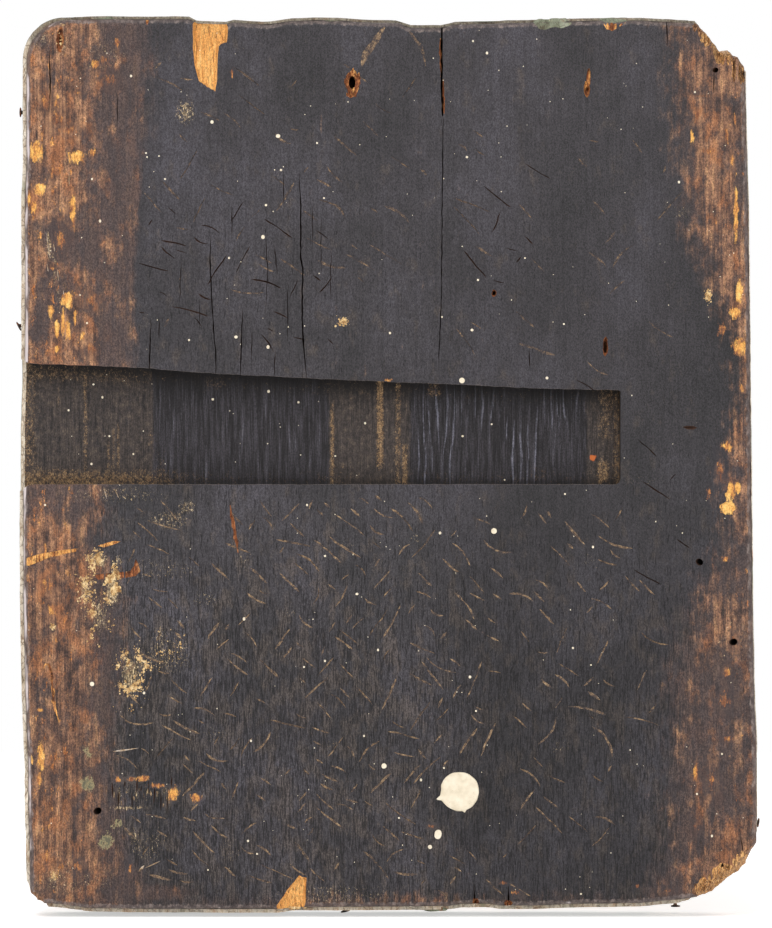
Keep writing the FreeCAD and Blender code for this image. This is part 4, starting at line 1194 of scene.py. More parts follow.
paint_on(wood_panel, "greyed", eased(row, 470, 560) * (1.65 * left_half - 0.65)
         - 0.35 * eased(row, 180, 260) * eased(column, 400, 450))
paint_on(wood_panel, "open_grain", eased(row, 420, 700)
         + 0.35 * eased(column, 600, 200) * eased(row, 100, 330))
torn_away = np.maximum.reduce([signed_distance(x, z, polygon) for polygon in (
    top_right_break, bottom_right_break, bottom_left_break)])
paint_on(wood_panel, "deep", into * 1000 * np.where(torn_away > -0.0075, 0.12, 1.0))
lip_row = np.interp(column, lip_columns, lip_rows)
above_floor_edge = 484 - row
# Painted shade in the groove: strongest just under the upper lip and fading down the floor, with a weaker
# band along the floor's lower corner under the lower lip.
shade = np.maximum(eased(14 - (row - lip_row), -14, 16) * 0.9, eased(3.5 - above_floor_edge, -3, 3) * 0.6)
paint_on(wood_panel, "shade", np.where(in_groove, shade, 0))
# The lip band: wear on both lips, and a painted highlight where their bevels catch the light.
by_lip = np.maximum(eased(2.4 - abs(row - 484.6), 0, 1.6),
                    0.7 * eased(2.6 - abs(row - lip_row + 0.6), 0, 1.6))
paint_on(wood_panel, "lip", np.where((into < 0.0009) & (into > -0.0004), by_lip, 0))
# The ripple crests, which carry a painted highlight in the groove's finish.
paint_on(wood_panel, "crest", ripple(x, z))
streaks = [
    (57, 380, 410, 3, 0.6), (84, 366, 480, 4.5, 0.8), (107, 430, 484, 3, 0.75), (112, 425, 484, 3, 0.7),
    (117, 420, 484, 3, 0.8), (160, 445, 484, 14, 0.45), (332, 400, 484, 4.5, 0.9),
    (380, 370, 468, 7, 1.0), (398, 380, 484, 6, 0.8), (405, 440, 484, 6, 0.9), (355, 370, 400, 40, 0.4),
    (345, 460, 484, 30, 0.5), (435, 378, 398, 16, 0.7), (620, 380, 484, 12, 0.75),
    (607, 380, 440, 16, 0.7), (604, 455, 484, 12, 0.9), (540, 462, 484, 22, 0.5),
    (322, 466, 484, 16, 0.5), (215, 372, 392, 30, 0.55), (150, 425, 450, 10, 0.6)]
along_floor_edge = eased(24 - above_floor_edge, 0, 15) * np.interp(
    column, [20, 60, 150, 190, 240, 620], [0.92, 0.86, 0.78, 0.5, 0.4, 0.42])
under_lip = eased(20 - abs(row - lip_row - 9), 0, 18) * np.interp(
    column, [20, 120, 180, 330, 620], [0.72, 0.62, 0.36, 0.42, 0.36])
by_open_end = eased(42 - column, -12, 18) * 0.78
left_bay, middle_bay = 0.14 * (column < 152), 0.22 * (column > 329) * (column < 410)
paint_on(wood_panel, "dust", np.where(in_groove, np.maximum.reduce(
    [along_floor_edge, under_lip, by_open_end, left_bay, middle_bay]
    + [strength * eased(half - abs(column - at), 0, half * 0.8) * eased(row, high - 6, high + 8)
       * eased(low + 8 - row, 0, 12) for at, high, low, half, strength in streaks]), 0))


def set_in(values, boxes):
    """Values with those in boxes on the picture replaced: left, right, high, low and value of each."""
    for left, right, high, low, value in boxes:
        values = np.where((column > left) & (column < right) & (row > high) & (row < low), value, values)
    return values


fresh, bared = np.full(x.shape, 0.45), np.zeros(x.shape)
for a, b, w, h, value in flecks:
    away = np.hypot((column - a) / w, (row - b) / h)
    fresh = np.where(away < 1.8, value, fresh)
    bared = np.maximum(bared, np.clip(1.15 - 0.75 * away, 0, 1))
fresh = np.where(signed_distance(x, z, top_sliver) > -0.0006, 1.0, fresh)
fresh = np.where(signed_distance(x, z, bottom_sliver) > -0.0006, 0.95, fresh)
for a, b, value in ((352, 82, 0.42), (587, 84, 0.36), (605, 347, 0.12), (494, 293, 0.12)):
    fresh = np.where(np.hypot(column - a, (row - b) / 1.8) < 12, value, fresh)
fresh = set_in(fresh, [
    (0, 72, 0, 62, 0.05), (0, 80, 546, 568, 0.58), (594, 638, 0, 36, 0.50), (225, 242, 501, 557, 0.30),
    (90, 145, 538, 550, 0.60), (88, 145, 556, 582, 0.28), (436, 448, 0, 79, 0.50),
    (684, 999, 0, 100, 0.16), (660, 999, 822, 999, 0.10), (0, 60, 860, 999, 0.34),
    (465, 520, 892, 999, 0.30), (0, 62, 655, 728, 0.52)])
for a, b, w, h, value in ((709, 42, 9, 10, 0.72), (722, 56, 9, 12, 0.85), (738, 76, 9, 16, 0.50),
                          (738, 863, 12, 11, 0.80), (722, 876, 14, 13, 0.85), (706, 888, 12, 10, 0.75)):
    fresh = np.maximum(fresh, value * eased(1.5 - np.hypot((column - a) / w, (row - b) / h), 0, 0.7))
paint_on(wood_panel, "fresh", fresh)
paint_on(wood_panel, "bared", bared)
from_rim = inside(x, z)
paint_on(wood_panel, "edge", eased(0.0026 - from_rim, 0, 0.0022) * (into > -0.0004) * (into < 0.0024))
# Painted highlight along the rim just inside the outline: strongest down the left side and round the groove's
# mouth, faint elsewhere, fading out towards the top-left and bottom-left corners.
by_mouth = np.exp(-((row - 348) / 16) ** 2) + np.exp(-((row - 492) / 9) ** 2)
left_glint = 0.95 + 0.6 * by_mouth - 0.6 * eased(row, 820, 860) - 0.5 * eased(row, 90, 60)
paint_on(wood_panel, "glint", eased(0.0006 - abs(from_rim - 0.0005), 0, 0.0003) * (into < 0.0024)
         * np.where(column < 60, left_glint, 0.26))
paint_on(wood_panel, "torn", eased(torn_away, -0.006, -0.003))
pale = set_in(np.maximum(0.4, eased(row, 380, 560)), [
    (110, 142, 746, 754, 3.2), (0, 122, 484, 502, 3.2), (0, 72, 0, 305, 3.2), (0, 163, 858, 870, 3.2),
    (108, 178, 776, 806, 1.5), (356, 394, 0, 72, 0.9), (402, 430, 0, 72, 0.7)])
paint_on(wood_panel, "pale", pale)
wood_panel.data.set_sharp_from_angle(angle=math.radians(34))
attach(wood_panel, "root")
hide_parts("wood_panel")

# The gesso ground. Chalk bound with hide glue, brushed in many coats over the front and round the
# sides and rubbed smooth. It has chipped along its rear rim and crumbled at the broken corners.
FILM = 0.00012
EDGE_WEAR = 0.0008
GROUND_FRONT = BACK + 0.0238
PAINT_FRONT = GROUND_FRONT + 0.00015
LINEN_FRONT, LINEN_REAR = BACK + 0.0224, BACK + 0.0195
film_coats = (FILM,) * 4


def chalk_ground():
    """Old chalk ground: ivory, greasy and brown on its worn rim, finely crazed."""
    f = Finish("chalk_ground")
    grime = f.cloud((3, 3, 7), 201, detail=6, bite=0.68)
    speck = f.cloud((0.6, 0.6, 0.9), 202, detail=4, bite=0.7)
    colour = f.grade(f.sum(f.times(grime, 0.7), f.times(speck, 0.3)), [
        (0.34, dye(128, 104, 84)), (0.44, dye(176, 158, 136)), (0.54, dye(212, 200, 182)),
        (0.68, dye(232, 224, 210))])
    rust = f.between(f.cloud((2.4, 2.4, 11), 203, detail=5, bite=0.66), 0.60, 0.70)
    colour = f.blend(f.times(rust, 0.7), colour, dye(150, 86, 44))
    mould = f.between(f.cloud((4, 4, 14), 204, detail=4), 0.60, 0.72)
    colour = f.blend(f.times(mould, 0.55), colour, dye(116, 120, 96))
    craze = f.between(f.cells((2.6, 2.6, 3.4), 205), 0.0, 0.05, 1.0, 0.0)
    colour = f.blend(f.times(craze, 0.6), colour, dye(84, 66, 50))
    soiled = f.sum(f.carried("soiled"), f.swing(grime, 1.6))
    colour = f.blend(f.between(soiled, 0.30, 0.90, 0.0, 0.85), colour, f.grade(speck, [
        (0.38, dye(78, 68, 58)), (0.50, dye(112, 104, 90)), (0.64, dye(144, 138, 120))]))
    return f.laid(colour, f.sum(f.times(speck, 0.3), 0.6), f.less(speck, craze), 0.00012,
                  Specular_IOR_Level=0.2)


def rings_of(coats, *depths):
    """The panel's outline, drawn in by the coats, as a ring at each of the given planes."""
    x, z = settled(ground_across, ground_up, coats)
    x, z = rim(x), rim(z)
    return [(x, np.broadcast_to(y, x.shape), z) for y in depths]


near_front = [0.0, 0.00003, 0.00012, 0.00026, 0.00045, 0.00065, 0.0008, 0.0013, 0.0022]
ground_across = lines(-HALF_WIDTH, HALF_WIDTH, 0.0022, near_front)
ground_up = lines(0, HEIGHT, 0.0022, near_front)
ground_x, ground_z = settled(ground_across, ground_up, film_coats)
short_of = np.clip(EDGE_WEAR - inside(ground_x, ground_z, film_coats), 0, EDGE_WEAR)
ground_y = (GROUND_FRONT - EDGE_WEAR + np.sqrt(EDGE_WEAR ** 2 - short_of ** 2)
            + 0.00003 * drift(ground_x, ground_z, 0.009, 0.009, 206))
outer_x, _, outer_z = rings_of(film_coats, 0.0)[0]
rear_rim = (BACK + 0.0021 + 0.0008 * drift(outer_x, outer_z, 0.009, 0.009, 207)
            + 0.0006 * drift(outer_x, outer_z, 0.0024, 0.0024, 208))
ground_rings = [(outer_x, GROUND_FRONT - EDGE_WEAR + (rear_rim - GROUND_FRONT + EDGE_WEAR) * share, outer_z)
                for share in (0.2, 0.45, 0.7, 0.88, 1.0)]
ground_rings += rings_of(tuple(c + 0.0005 for c in COATS), rear_rim + 0.0002)
ground_rings += rings_of(tuple(c + 0.003 for c in COATS), BACK + 0.0045)
gesso_ground = made("gesso_ground_layer", *slab((ground_x, ground_y, ground_z), ground_rings),
                    [chalk_ground()])


def plug(coats, low, high):
    """A tool filling the panel's outline between two planes, with the sunk field in its front."""
    body = made("tool", *lofted(np.array([np.stack(r, -1) for r in rings_of(coats, low, high)])))
    cut(body, made("tool", *hollow(high)))
    return body


linen_coats = tuple(c + 0.004 for c in COATS)
cut(gesso_ground, made("tool", *hollow(GROUND_FRONT)))
cut(gesso_ground, plug(COATS, BACK - 0.002, front))
cut(gesso_ground, plug(linen_coats, LINEN_REAR, LINEN_FRONT))


def lost(polygon, inwards, loss, seed):
    """A ragged tool right through the panel over a broken corner, drawn inwards by a loss."""
    x, z, _ = course(polygon + polygon[:1], 0.0005)
    x, z = x[:-1] + inwards[0] * loss * 0.7, z[:-1] + inwards[1] * loss * 0.7
    stations = []
    for y in np.linspace(BACK - 0.004, BACK + 0.028, 20):
        crumble = (0.0003 * drift(x + y, z - y, 0.0018, 0.0018, seed)
                   + 0.00012 * drift(x, z + y, 0.0006, 0.0006, seed + 1))
        stations.append(np.stack([x + inwards[0] * crumble, np.full(x.shape, y),
                                  z + inwards[1] * crumble], -1))
    return lofted(np.array(stations))


broken_corners = [(top_right_break, (-1, -1)), (bottom_right_break, (-1, 1)), (bottom_left_break, (1, 1))]


def crumbled(body, losses, seed):
    """Breaks a layer away over the broken corners, each drawn inwards by its own loss."""
    carve(body, [lost(polygon, inwards, loss, seed + 3 * i)
                 for i, ((polygon, inwards), loss) in enumerate(zip(broken_corners, losses))])


crumbled(gesso_ground, (-0.0004, 0.0006, 0.0003), 210)
carve(gesso_ground, [lofted(groove_stations)])

# Chips out of the ground: three losses on the front, down to the linen. Each line holds a place on
# the front and the half width and half height of the chip there.
ground_losses = [(0.062, 0.012, 0.0065, 0.0045), (-0.071, 0.2635, 0.0055, 0.003),
                 (0.1035, 0.188, 0.003, 0.006)]


def front_loss(x, z, half_width, half_height, low, seed):
    """A ragged upright tool that takes a layer off the front down to the plane at low."""
    turn = turns(40)
    rough = ragged_round(turn, 0.30, 0.16, 0.16, seed)
    ring_x, ring_z = x + np.cos(turn) * half_width * rough, z + np.sin(turn) * half_height * rough
    return lofted(np.array([np.stack([ring_x, np.full(ring_x.shape, y), ring_z], -1)
                            for y in (low, PAINT_FRONT + 0.001)]))


carve(gesso_ground, [front_loss(*loss, LINEN_FRONT - 0.00003, 220 + 2 * i)
                     for i, loss in enumerate(ground_losses)])
x, y, z = points_of(gesso_ground)
top_and_foot = np.maximum(0.85 * eased(z, HEIGHT - 0.012, HEIGHT - 0.004), 0.55 * eased(0.012 - z, 0, 0.006))
paint_on(gesso_ground, "soiled", top_and_foot * eased(BACK + 0.012 - y, 0, 0.006))
gesso_ground.data.set_sharp_from_angle(angle=math.radians(34))
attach(gesso_ground, "root")
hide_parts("gesso_ground")

# The linen. A loose plain weave soaked in hide glue and stretched over the front before the ground
# went on. It shows where the ground has fallen away.
def woven_linen():
    """Glue-soaked linen, straw-coloured, with its threads over and under each other."""
    f = Finish("woven_linen")
    weft, warp = (f.step("ShaderNodeTexWave", {"Vector": f.stretched((4.2, 4.2, 4.2), seed),
                                               "Scale": 1.0, "Distortion": 0.6, "Detail Scale": 1.4},
                         bands_direction=direction).outputs[1]
                  for direction, seed in (("X", 241), ("Z", 242)))
    glue = f.cloud((5, 5, 5), 243, detail=5)
    threads = f.sum(f.times(weft, 0.5), f.times(warp, 0.5))
    colour = f.grade(f.sum(f.times(threads, 0.7), f.times(glue, 0.3)), [
        (0.25, dye(96, 74, 50)), (0.5, dye(160, 134, 96)), (0.75, dye(206, 184, 144))])
    return f.laid(colour, f.sum(f.times(glue, 0.3), 0.55), threads, 0.0001, Specular_IOR_Level=0.2)


BEYOND = (-0.001,) * 4
linen_cloth = made("linen_cloth_weave", *lofted(np.array(
    [np.stack(r, -1) for r in rings_of(linen_coats, LINEN_REAR, LINEN_FRONT)])), [woven_linen()])
cut(linen_cloth, made("tool", *hollow(LINEN_FRONT)))
cut(linen_cloth, plug(BEYOND, BACK - 0.002, front))
crumbled(linen_cloth, (-0.0006,) * 3, 250)
linen_cloth.data.set_sharp_from_angle(angle=math.radians(30))
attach(linen_cloth, "root")
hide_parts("linen_cloth")

# The side paint. One thin coat of green-grey distemper brushed round the sides over the ground and
# lapped in places onto the back, flaked and stained by handling.
def side_distemper():
    """Lean grey-green paint, browned by smoke and fingers, crazed and rubbed to the ground."""
    f = Finish("side_distemper")
    smoke = f.cloud((5, 5, 14), 261, detail=6, bite=0.66)
    rub = f.cloud((0.9, 0.9, 1.6), 262, detail=5, bite=0.7)
    colour = f.grade(smoke, [(0.36, dye(74, 66, 50)), (0.48, dye(110, 114, 94)), (0.58, dye(136, 141, 120)),
                             (0.70, dye(156, 156, 138))])
    colour = f.blend(f.between(rub, 0.60, 0.68), colour, dye(186, 174, 144))
    stain = f.between(f.cloud((3, 3, 9), 263, detail=5), 0.60, 0.70)
    colour = f.blend(f.times(stain, 0.65), colour, dye(128, 78, 46))
    craze = f.between(f.cells((1.8, 1.8, 2.6), 264), 0.0, 0.05, 1.0, 0.0)
    colour = f.blend(f.times(craze, 0.7), colour, dye(58, 48, 38))
    return f.laid(colour, f.sum(f.times(rub, 0.3), 0.5), f.less(rub, craze), 0.00006,
                  Specular_IOR_Level=0.25)


def lapped(polygon, thickness, seed):
    """Paint lapped over the arris onto the back: a thin skin over a rounded polygon."""
    x, z, _ = course(polygon + polygon[:1], 0.0005)
    x, z = x[:-1], z[:-1]
    centre_x, centre_z = x.mean(), z.mean()
    ragged = 1 + 0.12 * drift(x, z, 0.0012, 0.0012, seed)
    rings = []
    for share, rise in ((1.0, -0.00008), (1.0, 0.4 * thickness), (0.93, thickness), (0.6, thickness),
                        (0.2, thickness)):
        ring_x = centre_x + (x - centre_x) * share * ragged
        ring_z = centre_z + (z - centre_z) * share * ragged
        rings.append(np.stack([ring_x, skin(ring_x, ring_z) - rise, ring_z], -1))
    return lofted(np.array(rings))


def side_flake(side, along, y, half_along, half_y, seed):
    """A tool that flakes the paint off a side, at a place along it and a depth into the panel."""
    turn = turns(30)
    rough = ragged_round(turn, 0.32, 0.18, 0.17, seed)
    run, sink = along + np.cos(turn) * half_along * rough, y + np.sin(turn) * half_y * rough
    at_x, at_z = (0.0, along) if side in (0, 1) else (along, 0.1)
    level = float(edges_at(at_x, at_z)[side])
    out = -1 if side in (0, 2) else 1
    rings = []
    for rise in (0.0025, -0.0004):
        across = np.full(run.shape, level + out * rise)
        rings.append(np.stack([across, sink, run] if side in (0, 1) else [run, sink, across], -1))
    return lofted(np.array(rings))


paint_rear = (BACK + 0.0036 + 0.0009 * drift(outer_x, outer_z, 0.011, 0.011, 265)
              + 0.0005 * drift(outer_x, outer_z, 0.002, 0.002, 266))
paint_fore = GROUND_FRONT - EDGE_WEAR
loops = [rings_of((0.0,) * 4, paint_rear + (paint_fore - paint_rear) * share)[0]
         for share in (0.0, 0.1, 0.3, 0.55, 0.8, 1.0)]
loops += [rings_of(film_coats, paint_fore)[0], rings_of(film_coats, paint_rear)[0]]
loops = np.array([np.stack(loop, -1) for loop in loops])
loop_place = np.arange(loops.shape[0] * loops.shape[1]).reshape(loops.shape[:2])
next_loop, next_point = np.roll(loop_place, -1, 0), np.roll(loop_place, -1, 1)
band_faces = np.stack([loop_place, next_point, np.roll(next_loop, -1, 1), next_loop], -1).reshape(-1, 4)
side_paint = made("side_paint_coat", loops.reshape(-1, 3), band_faces.tolist(), [side_distemper()])
crumbled(side_paint, (0.0018,) * 3, 270)
carve(side_paint, [lofted(groove_stations)])
chance = np.random.default_rng(29)
side_losses = []
for side, low, high, count in ((0, 0.02, 0.255, 26), (1, 0.02, 0.245, 34), (2, -0.10, 0.09, 26),
                               (3, -0.095, 0.09, 26)):
    for _ in range(count):
        along = chance.uniform(low, high)
        sink = chance.choice([chance.uniform(0.004, 0.0225), chance.uniform(0.019, 0.0235)])
        side_losses.append((side, along, BACK + sink, chance.uniform(0.0008, 0.0045),
                            chance.uniform(0.0005, 0.0024)))
carve_apart(side_paint, side_losses, lambda loss: (loss[0] * 10 + loss[1], loss[2], max(loss[3:5]) * 1.5),
            lambda loss, i: side_flake(*loss, 280 + 2 * i))
laps = [
    [(534, 21), (541, 18.5), (556, 18), (571, 17.8), (571, 24), (564, 28), (552, 27), (545, 30), (537, 28)],
    [(600, 18), (612, 17.2), (628, 17.2), (629, 20), (617, 22.5), (604, 22)],
    [(414, 909.5), (424, 906.5), (438, 907), (448, 909.5), (446, 911.5), (430, 912)],
    [(322, 18.5), (336, 17.8), (348, 18.4), (343, 20.5), (328, 21)],
    [(84, 16.5), (104, 16), (118, 16.2), (112, 18.4), (92, 18.8)],
]
lap_body = made("laps", *joined([lapped(polygon, 0.00005, 700 + i) for i, polygon in enumerate(laps)]),
                side_paint.data.materials)
both = bmesh.new()
both.from_mesh(side_paint.data)
both.from_mesh(lap_body.data)
both.to_mesh(side_paint.data)
both.free()
bpy.data.objects.remove(lap_body)
side_paint.data.set_sharp_from_angle(angle=math.radians(40))
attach(side_paint, "root")
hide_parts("side_paint")

# The front paints. Egg tempera on the ground: a red line round the outer edge, the ochre border, a
# red line on the lip of the sunk field, and the gold-brown field itself. Each is its own film.
def tempera(name, shades, seed, relief=0.00005):
    """Egg tempera under old varnish: three shades of one pigment, crazed, rubbed on its high spots."""
    f = Finish(name)
    broad = f.cloud((24, 24, 34), seed, detail=3)
    brush = f.cloud((14, 5, 2.2), seed + 1, detail=4, bite=0.6)
    tone = f.sum(f.times(broad, 0.55), f.times(brush, 0.45))
    colour = f.grade(tone, [(0.36, dye(*shades[0])), (0.50, dye(*shades[1])), (0.64, dye(*shades[2]))])
    smoke = f.between(f.cloud((18, 18, 26), seed + 2, detail=5, bite=0.62), 0.46, 0.70)
    colour = f.blend(f.times(smoke, 0.55), colour, dye(66, 48, 32))
    wander = f.swing(f.cloud((2.4, 2.4, 2.4), seed + 3, detail=3), 0.03)
    coarse = f.between(f.sum(f.cells((6.5, 6.5, 4.6), seed + 4), wander), 0.0, 0.028, 1.0, 0.0)
    fine = f.between(f.sum(f.cells((2.1, 2.1, 1.6), seed + 5), wander), 0.0, 0.045, 1.0, 0.0)
    crazed = f.sum(f.times(coarse, 0.9), f.times(fine, 0.45))
    colour = f.blend(f.times(crazed, 0.8), colour, dye(40, 28, 20))
    rubbed = f.between(f.cloud((1.6, 1.6, 2.2), seed + 6, detail=6, bite=0.74), 0.66, 0.72)
    colour = f.blend(f.times(rubbed, 0.8), colour, dye(206, 186, 148))
    gloss = f.sum(f.times(brush, 0.25), f.times(crazed, 0.3))
    return f.laid(colour, f.sum(gloss, 0.24), f.less(brush, f.times(crazed, 1.5)), relief,
                  Specular_IOR_Level=0.4)


FIELD = PAINT_FRONT - field_depth
paint_inset = FILM + EDGE_WEAR
paint_x, paint_z = settled(ground_across, ground_up, (paint_inset,) * 4)
paint_y = PAINT_FRONT + 0.00002 * drift(paint_x, paint_z, 0.006, 0.004, 301)
whole_film = made("whole_film", *slab((paint_x, paint_y, paint_z),
                                      rings_of((paint_inset,) * 4, BACK + 0.0228, BACK + 0.0212)))
cut(whole_film, made("tool", *hollow(PAINT_FRONT)))
cut(whole_film, plug(BEYOND, BACK + 0.018, GROUND_FRONT))
crumbled(whole_film, (0.0006,) * 3, 303)
chance = np.random.default_rng(31)
paint_losses = [(x, z, w * 1.35, h * 1.35) for x, z, w, h in ground_losses]
for _ in range(95):
    if chance.random() < 0.72:
        turn = chance.uniform(0, 4)
        off = abs(chance.normal(0, 0.006))
        x, z = ((-0.109 + off, chance.uniform(0.01, 0.26)) if turn < 1.2 else
                (0.109 - off, chance.uniform(0.01, 0.26)) if turn < 2.4 else
                (chance.uniform(-0.1, 0.1), 0.003 + off) if turn < 3.3 else
                (chance.uniform(-0.1, 0.1), 0.266 - off))
    else:
        x, z = chance.uniform(-0.1, 0.1), chance.uniform(0.01, 0.26)
    size = chance.uniform(0.0006, 0.0026) * chance.choice([1.0, 1.6], p=[0.75, 0.25])
    paint_losses.append((x, z, size, size * chance.uniform(0.6, 1.6)))


def front_reach(loss):
    """The place of a loss on the front, and how far round it another has to keep away."""
    return loss[0], loss[1], max(loss[2:4]) * 1.5


carve_apart(whole_film, paint_losses, front_reach,
            lambda loss, i: front_loss(*loss, BACK + 0.0206, 320 + 2 * i))


def copied(body, name, finish):
    twin = bpy.data.objects.new(name, body.data.copy())
    twin.data.materials.clear()
    twin.data.materials.append(finish)
    twin.data.polygons.foreach_set("material_index", [0] * len(twin.data.polygons))
    bpy.context.scene.collection.objects.link(twin)
    return twin


def upright(x, z, low=BACK + 0.017, high=BACK + 0.027):
    """A prism over a closed line of X and Z, between two planes."""
    return lofted(np.array([np.stack([x, np.full(x.shape, y), z], -1) for y in (low, high)]))


def hand_drawn(corners, waver, seed, step=0.0018):
    """A closed line through corners, drawn by hand: nearly straight, with a little waver."""
    corner_x, corner_z = np.array(corners + corners[:1], float).T
    x, z = [], []
    for i in range(len(corners)):
        length = math.hypot(corner_x[i + 1] - corner_x[i], corner_z[i + 1] - corner_z[i])
        share = np.linspace(0, 1, max(2, int(length / step)), endpoint=False)
        x.append(corner_x[i] + share * (corner_x[i + 1] - corner_x[i]))
        z.append(corner_z[i] + share * (corner_z[i + 1] - corner_z[i]))
    x, z = np.concatenate(x), np.concatenate(z)
    return (x + waver * drift(z, x, 0.011, 0.011, seed), z + waver * drift(x, z, 0.013, 0.013, seed + 1))


def box_line(draw, waver, seed):
    """The sunk field's outline, drawn in from the lip."""
    low_x, low_z, high_x, high_z = (field_low[0] + draw, field_low[1] + draw,
                                    field_high[0] - draw, field_high[1] - draw)
    return hand_drawn([(low_x, low_z), (high_x, low_z), (high_x, high_z), (low_x, high_z)], waver, seed)


line_x, _, line_z = rings_of((paint_inset + 0.0032,) * 4, 0.0)[0]
line_x = line_x + 0.00025 * drift(line_z, line_x, 0.016, 0.016, 311)
line_z = line_z + 0.00025 * drift(line_x, line_z, 0.016, 0.016, 312)
lip_inset = -layer_spread(PAINT_FRONT)
lip_line = box_line(lip_inset - 0.0016, 0.00022, 313)
floor_line = box_line(lip_inset + field_slope, 0.00005, 315)
edge_red = tempera("edge_red_tempera", ((86, 34, 26), (130, 52, 38), (158, 72, 50)), 321)
ochre = tempera("border_ochre_tempera", ((126, 88, 48), (172, 126, 70), (196, 152, 90)), 331)
lip_red = tempera("lip_red_tempera", ((88, 32, 24), (134, 48, 34), (160, 70, 48)), 341)
gold_brown = tempera("field_ochre_tempera", ((132, 90, 44), (184, 134, 66), (208, 164, 92)), 351)

edge_line_paint = copied(whole_film, "edge_line_paint_film", edge_red)
cut(edge_line_paint, made("tool", *upright(line_x, line_z)))
border_paint = copied(whole_film, "border_paint_film", ochre)
cut(border_paint, made("tool", *upright(line_x, line_z)), "INTERSECT")
cut(border_paint, made("tool", *upright(*lip_line)))
recess_line_paint = copied(whole_film, "recess_line_paint_film", lip_red)
cut(recess_line_paint, made("tool", *upright(*lip_line)), "INTERSECT")
cut(recess_line_paint, made("tool", *upright(*floor_line)))
field_paint = copied(whole_film, "field_paint_film", gold_brown)
cut(field_paint, made("tool", *upright(*floor_line)), "INTERSECT")
bpy.data.meshes.remove(whole_film.data)
for piece, node, slot in ((edge_line_paint, "edge_line_paint", "edge_red"),
                          (border_paint, "border_paint", "border_ochre"),
                          (recess_line_paint, "recess_line_paint", "recess_red"),
                          (field_paint, "field_paint", "field_gold_ochre")):
    piece.data.set_sharp_from_angle(angle=math.radians(30))
    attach(piece, "root")
    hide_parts(node)

# The picture. A plain three-barred cross on a stepped mound, with a ring of gold leaf round the
# crossing: each a thin hand-painted shape on the field, the ring punched with small dots.
FOOT, POST_TOP = 0.05759, 0.21561
MOTIF, HIDDEN = 0.0001, 0.00003
POST_WIDTH, BAR_WIDTH = 0.011, 0.0095
RING_OUTER, RING_INNER = 0.036, 0.031


def up_the_post(share):
    return FOOT + share * (POST_TOP - FOOT)


def cross_bar(length, middle, tilt, seed):
    half, rise = length / 2, BAR_WIDTH / 2
    turn = math.radians(tilt)
    corners = [(x * math.cos(turn) + z * math.sin(turn), middle - x * math.sin(turn) + z * math.cos(turn))
               for x, z in ((-half, -rise), (half, -rise), (half, rise), (-half, rise))]
    return hand_drawn(corners, 0.00018, seed)


def cross_shape(low, high, finishes):
    half = POST_WIDTH / 2
    post = hand_drawn([(-half, FOOT), (half, FOOT), (half, POST_TOP), (-half, POST_TOP)], 0.00018, 361)
    body = made("cross_paint_shape", *upright(*post, low, high), finishes)
    for bar in (cross_bar(0.034, up_the_post(0.87), 0, 363), cross_bar(0.084, up_the_post(0.69), 0, 365),
                cross_bar(0.050, up_the_post(0.24), 24, 367)):
        cut(body, made("tool", *upright(*bar, low, high), finishes), "UNION")
    return body


def gold_leaf():
    """Water-gilt leaf on red bole: burnished, rubbed through to the bole, crazed."""
    f = Finish("gold_leaf")
    sheet = f.cloud((9, 9, 12), 371, detail=5)
    rub = f.cloud((1.2, 1.2, 1.8), 372, detail=6, bite=0.74)
    colour = f.grade(sheet, [(0.38, dye(168, 122, 52)), (0.5, dye(204, 158, 80)),
                             (0.64, dye(226, 186, 108))])
    craze = f.between(f.cells((3.2, 3.2, 2.6), 373), 0.0, 0.04, 1.0, 0.0)
    bole = f.between(f.sum(rub, f.times(craze, 0.06)), 0.58, 0.64)
    colour = f.blend(bole, colour, dye(122, 50, 34))
    bump = f.step("ShaderNodeBump", {"Height": f.less(rub, craze), "Distance": 0.00004, "Strength": 1.0})
    body = f.step("ShaderNodeBsdfPrincipled", {
        "Base Color": colour, "Roughness": f.sum(f.times(rub, 0.3), 0.18), "Normal": bump.outputs[0],
        "Metallic": f.between(bole, 0.2, 0.8, 0.85, 0.0)})
    out = f.step("ShaderNodeOutputMaterial", {"Surface": body.outputs[0]})
    f.tree.nodes.active = out
    return f.material


cross_brown = tempera("cross_brown_tempera", ((44, 27, 20), (70, 42, 30), (96, 60, 42)), 381)
mound_green = tempera("mound_green_tempera", ((52, 52, 36), (82, 86, 58), (110, 114, 80)), 391)
leaf = gold_leaf()
cross_paint = cross_shape(FIELD - HIDDEN, FIELD + MOTIF, [cross_brown])
turn = turns(180)
ring_middle = up_the_post(0.69)


def ring_line(radius, waver, seed):
    swell = radius + waver * drift(np.cos(turn) * 0.05, np.sin(turn) * 0.05, 0.012, 0.012, seed)
    return np.cos(turn) * swell, ring_middle + np.sin(turn) * swell


halo_gilding = made("halo_gilding_ring", *upright(*ring_line(RING_OUTER, 0.00015, 401),
                                                  FIELD - HIDDEN, FIELD + MOTIF), [leaf])
cut(halo_gilding, made("tool", *upright(*ring_line(RING_INNER, 0.00015, 403))))
cut(halo_gilding, cross_shape(FIELD - 0.001, FIELD + 0.001, []))
punched, ring_centre = [], (RING_OUTER + RING_INNER) / 2
for angle in turns(72):
    x, z = ring_centre * math.cos(angle), ring_middle + ring_centre * math.sin(angle)
    cone_turn = turns(12)
    punched.append(lofted(np.array([np.stack([x + r * np.cos(cone_turn), np.full(cone_turn.shape, FIELD + y),
                                              z + r * np.sin(cone_turn)], -1)
                                    for r, y in ((0.0008, 0.0004), (0.00055, 0.00011), (0.0002, 0.00002))])))
carve(halo_gilding, punched)
steps = []
for i in range(3):
    half, low = 0.052 - 0.013 * i, 0.03359 + 0.008 * i
    steps += [(half, low), (half, low + 0.008)]
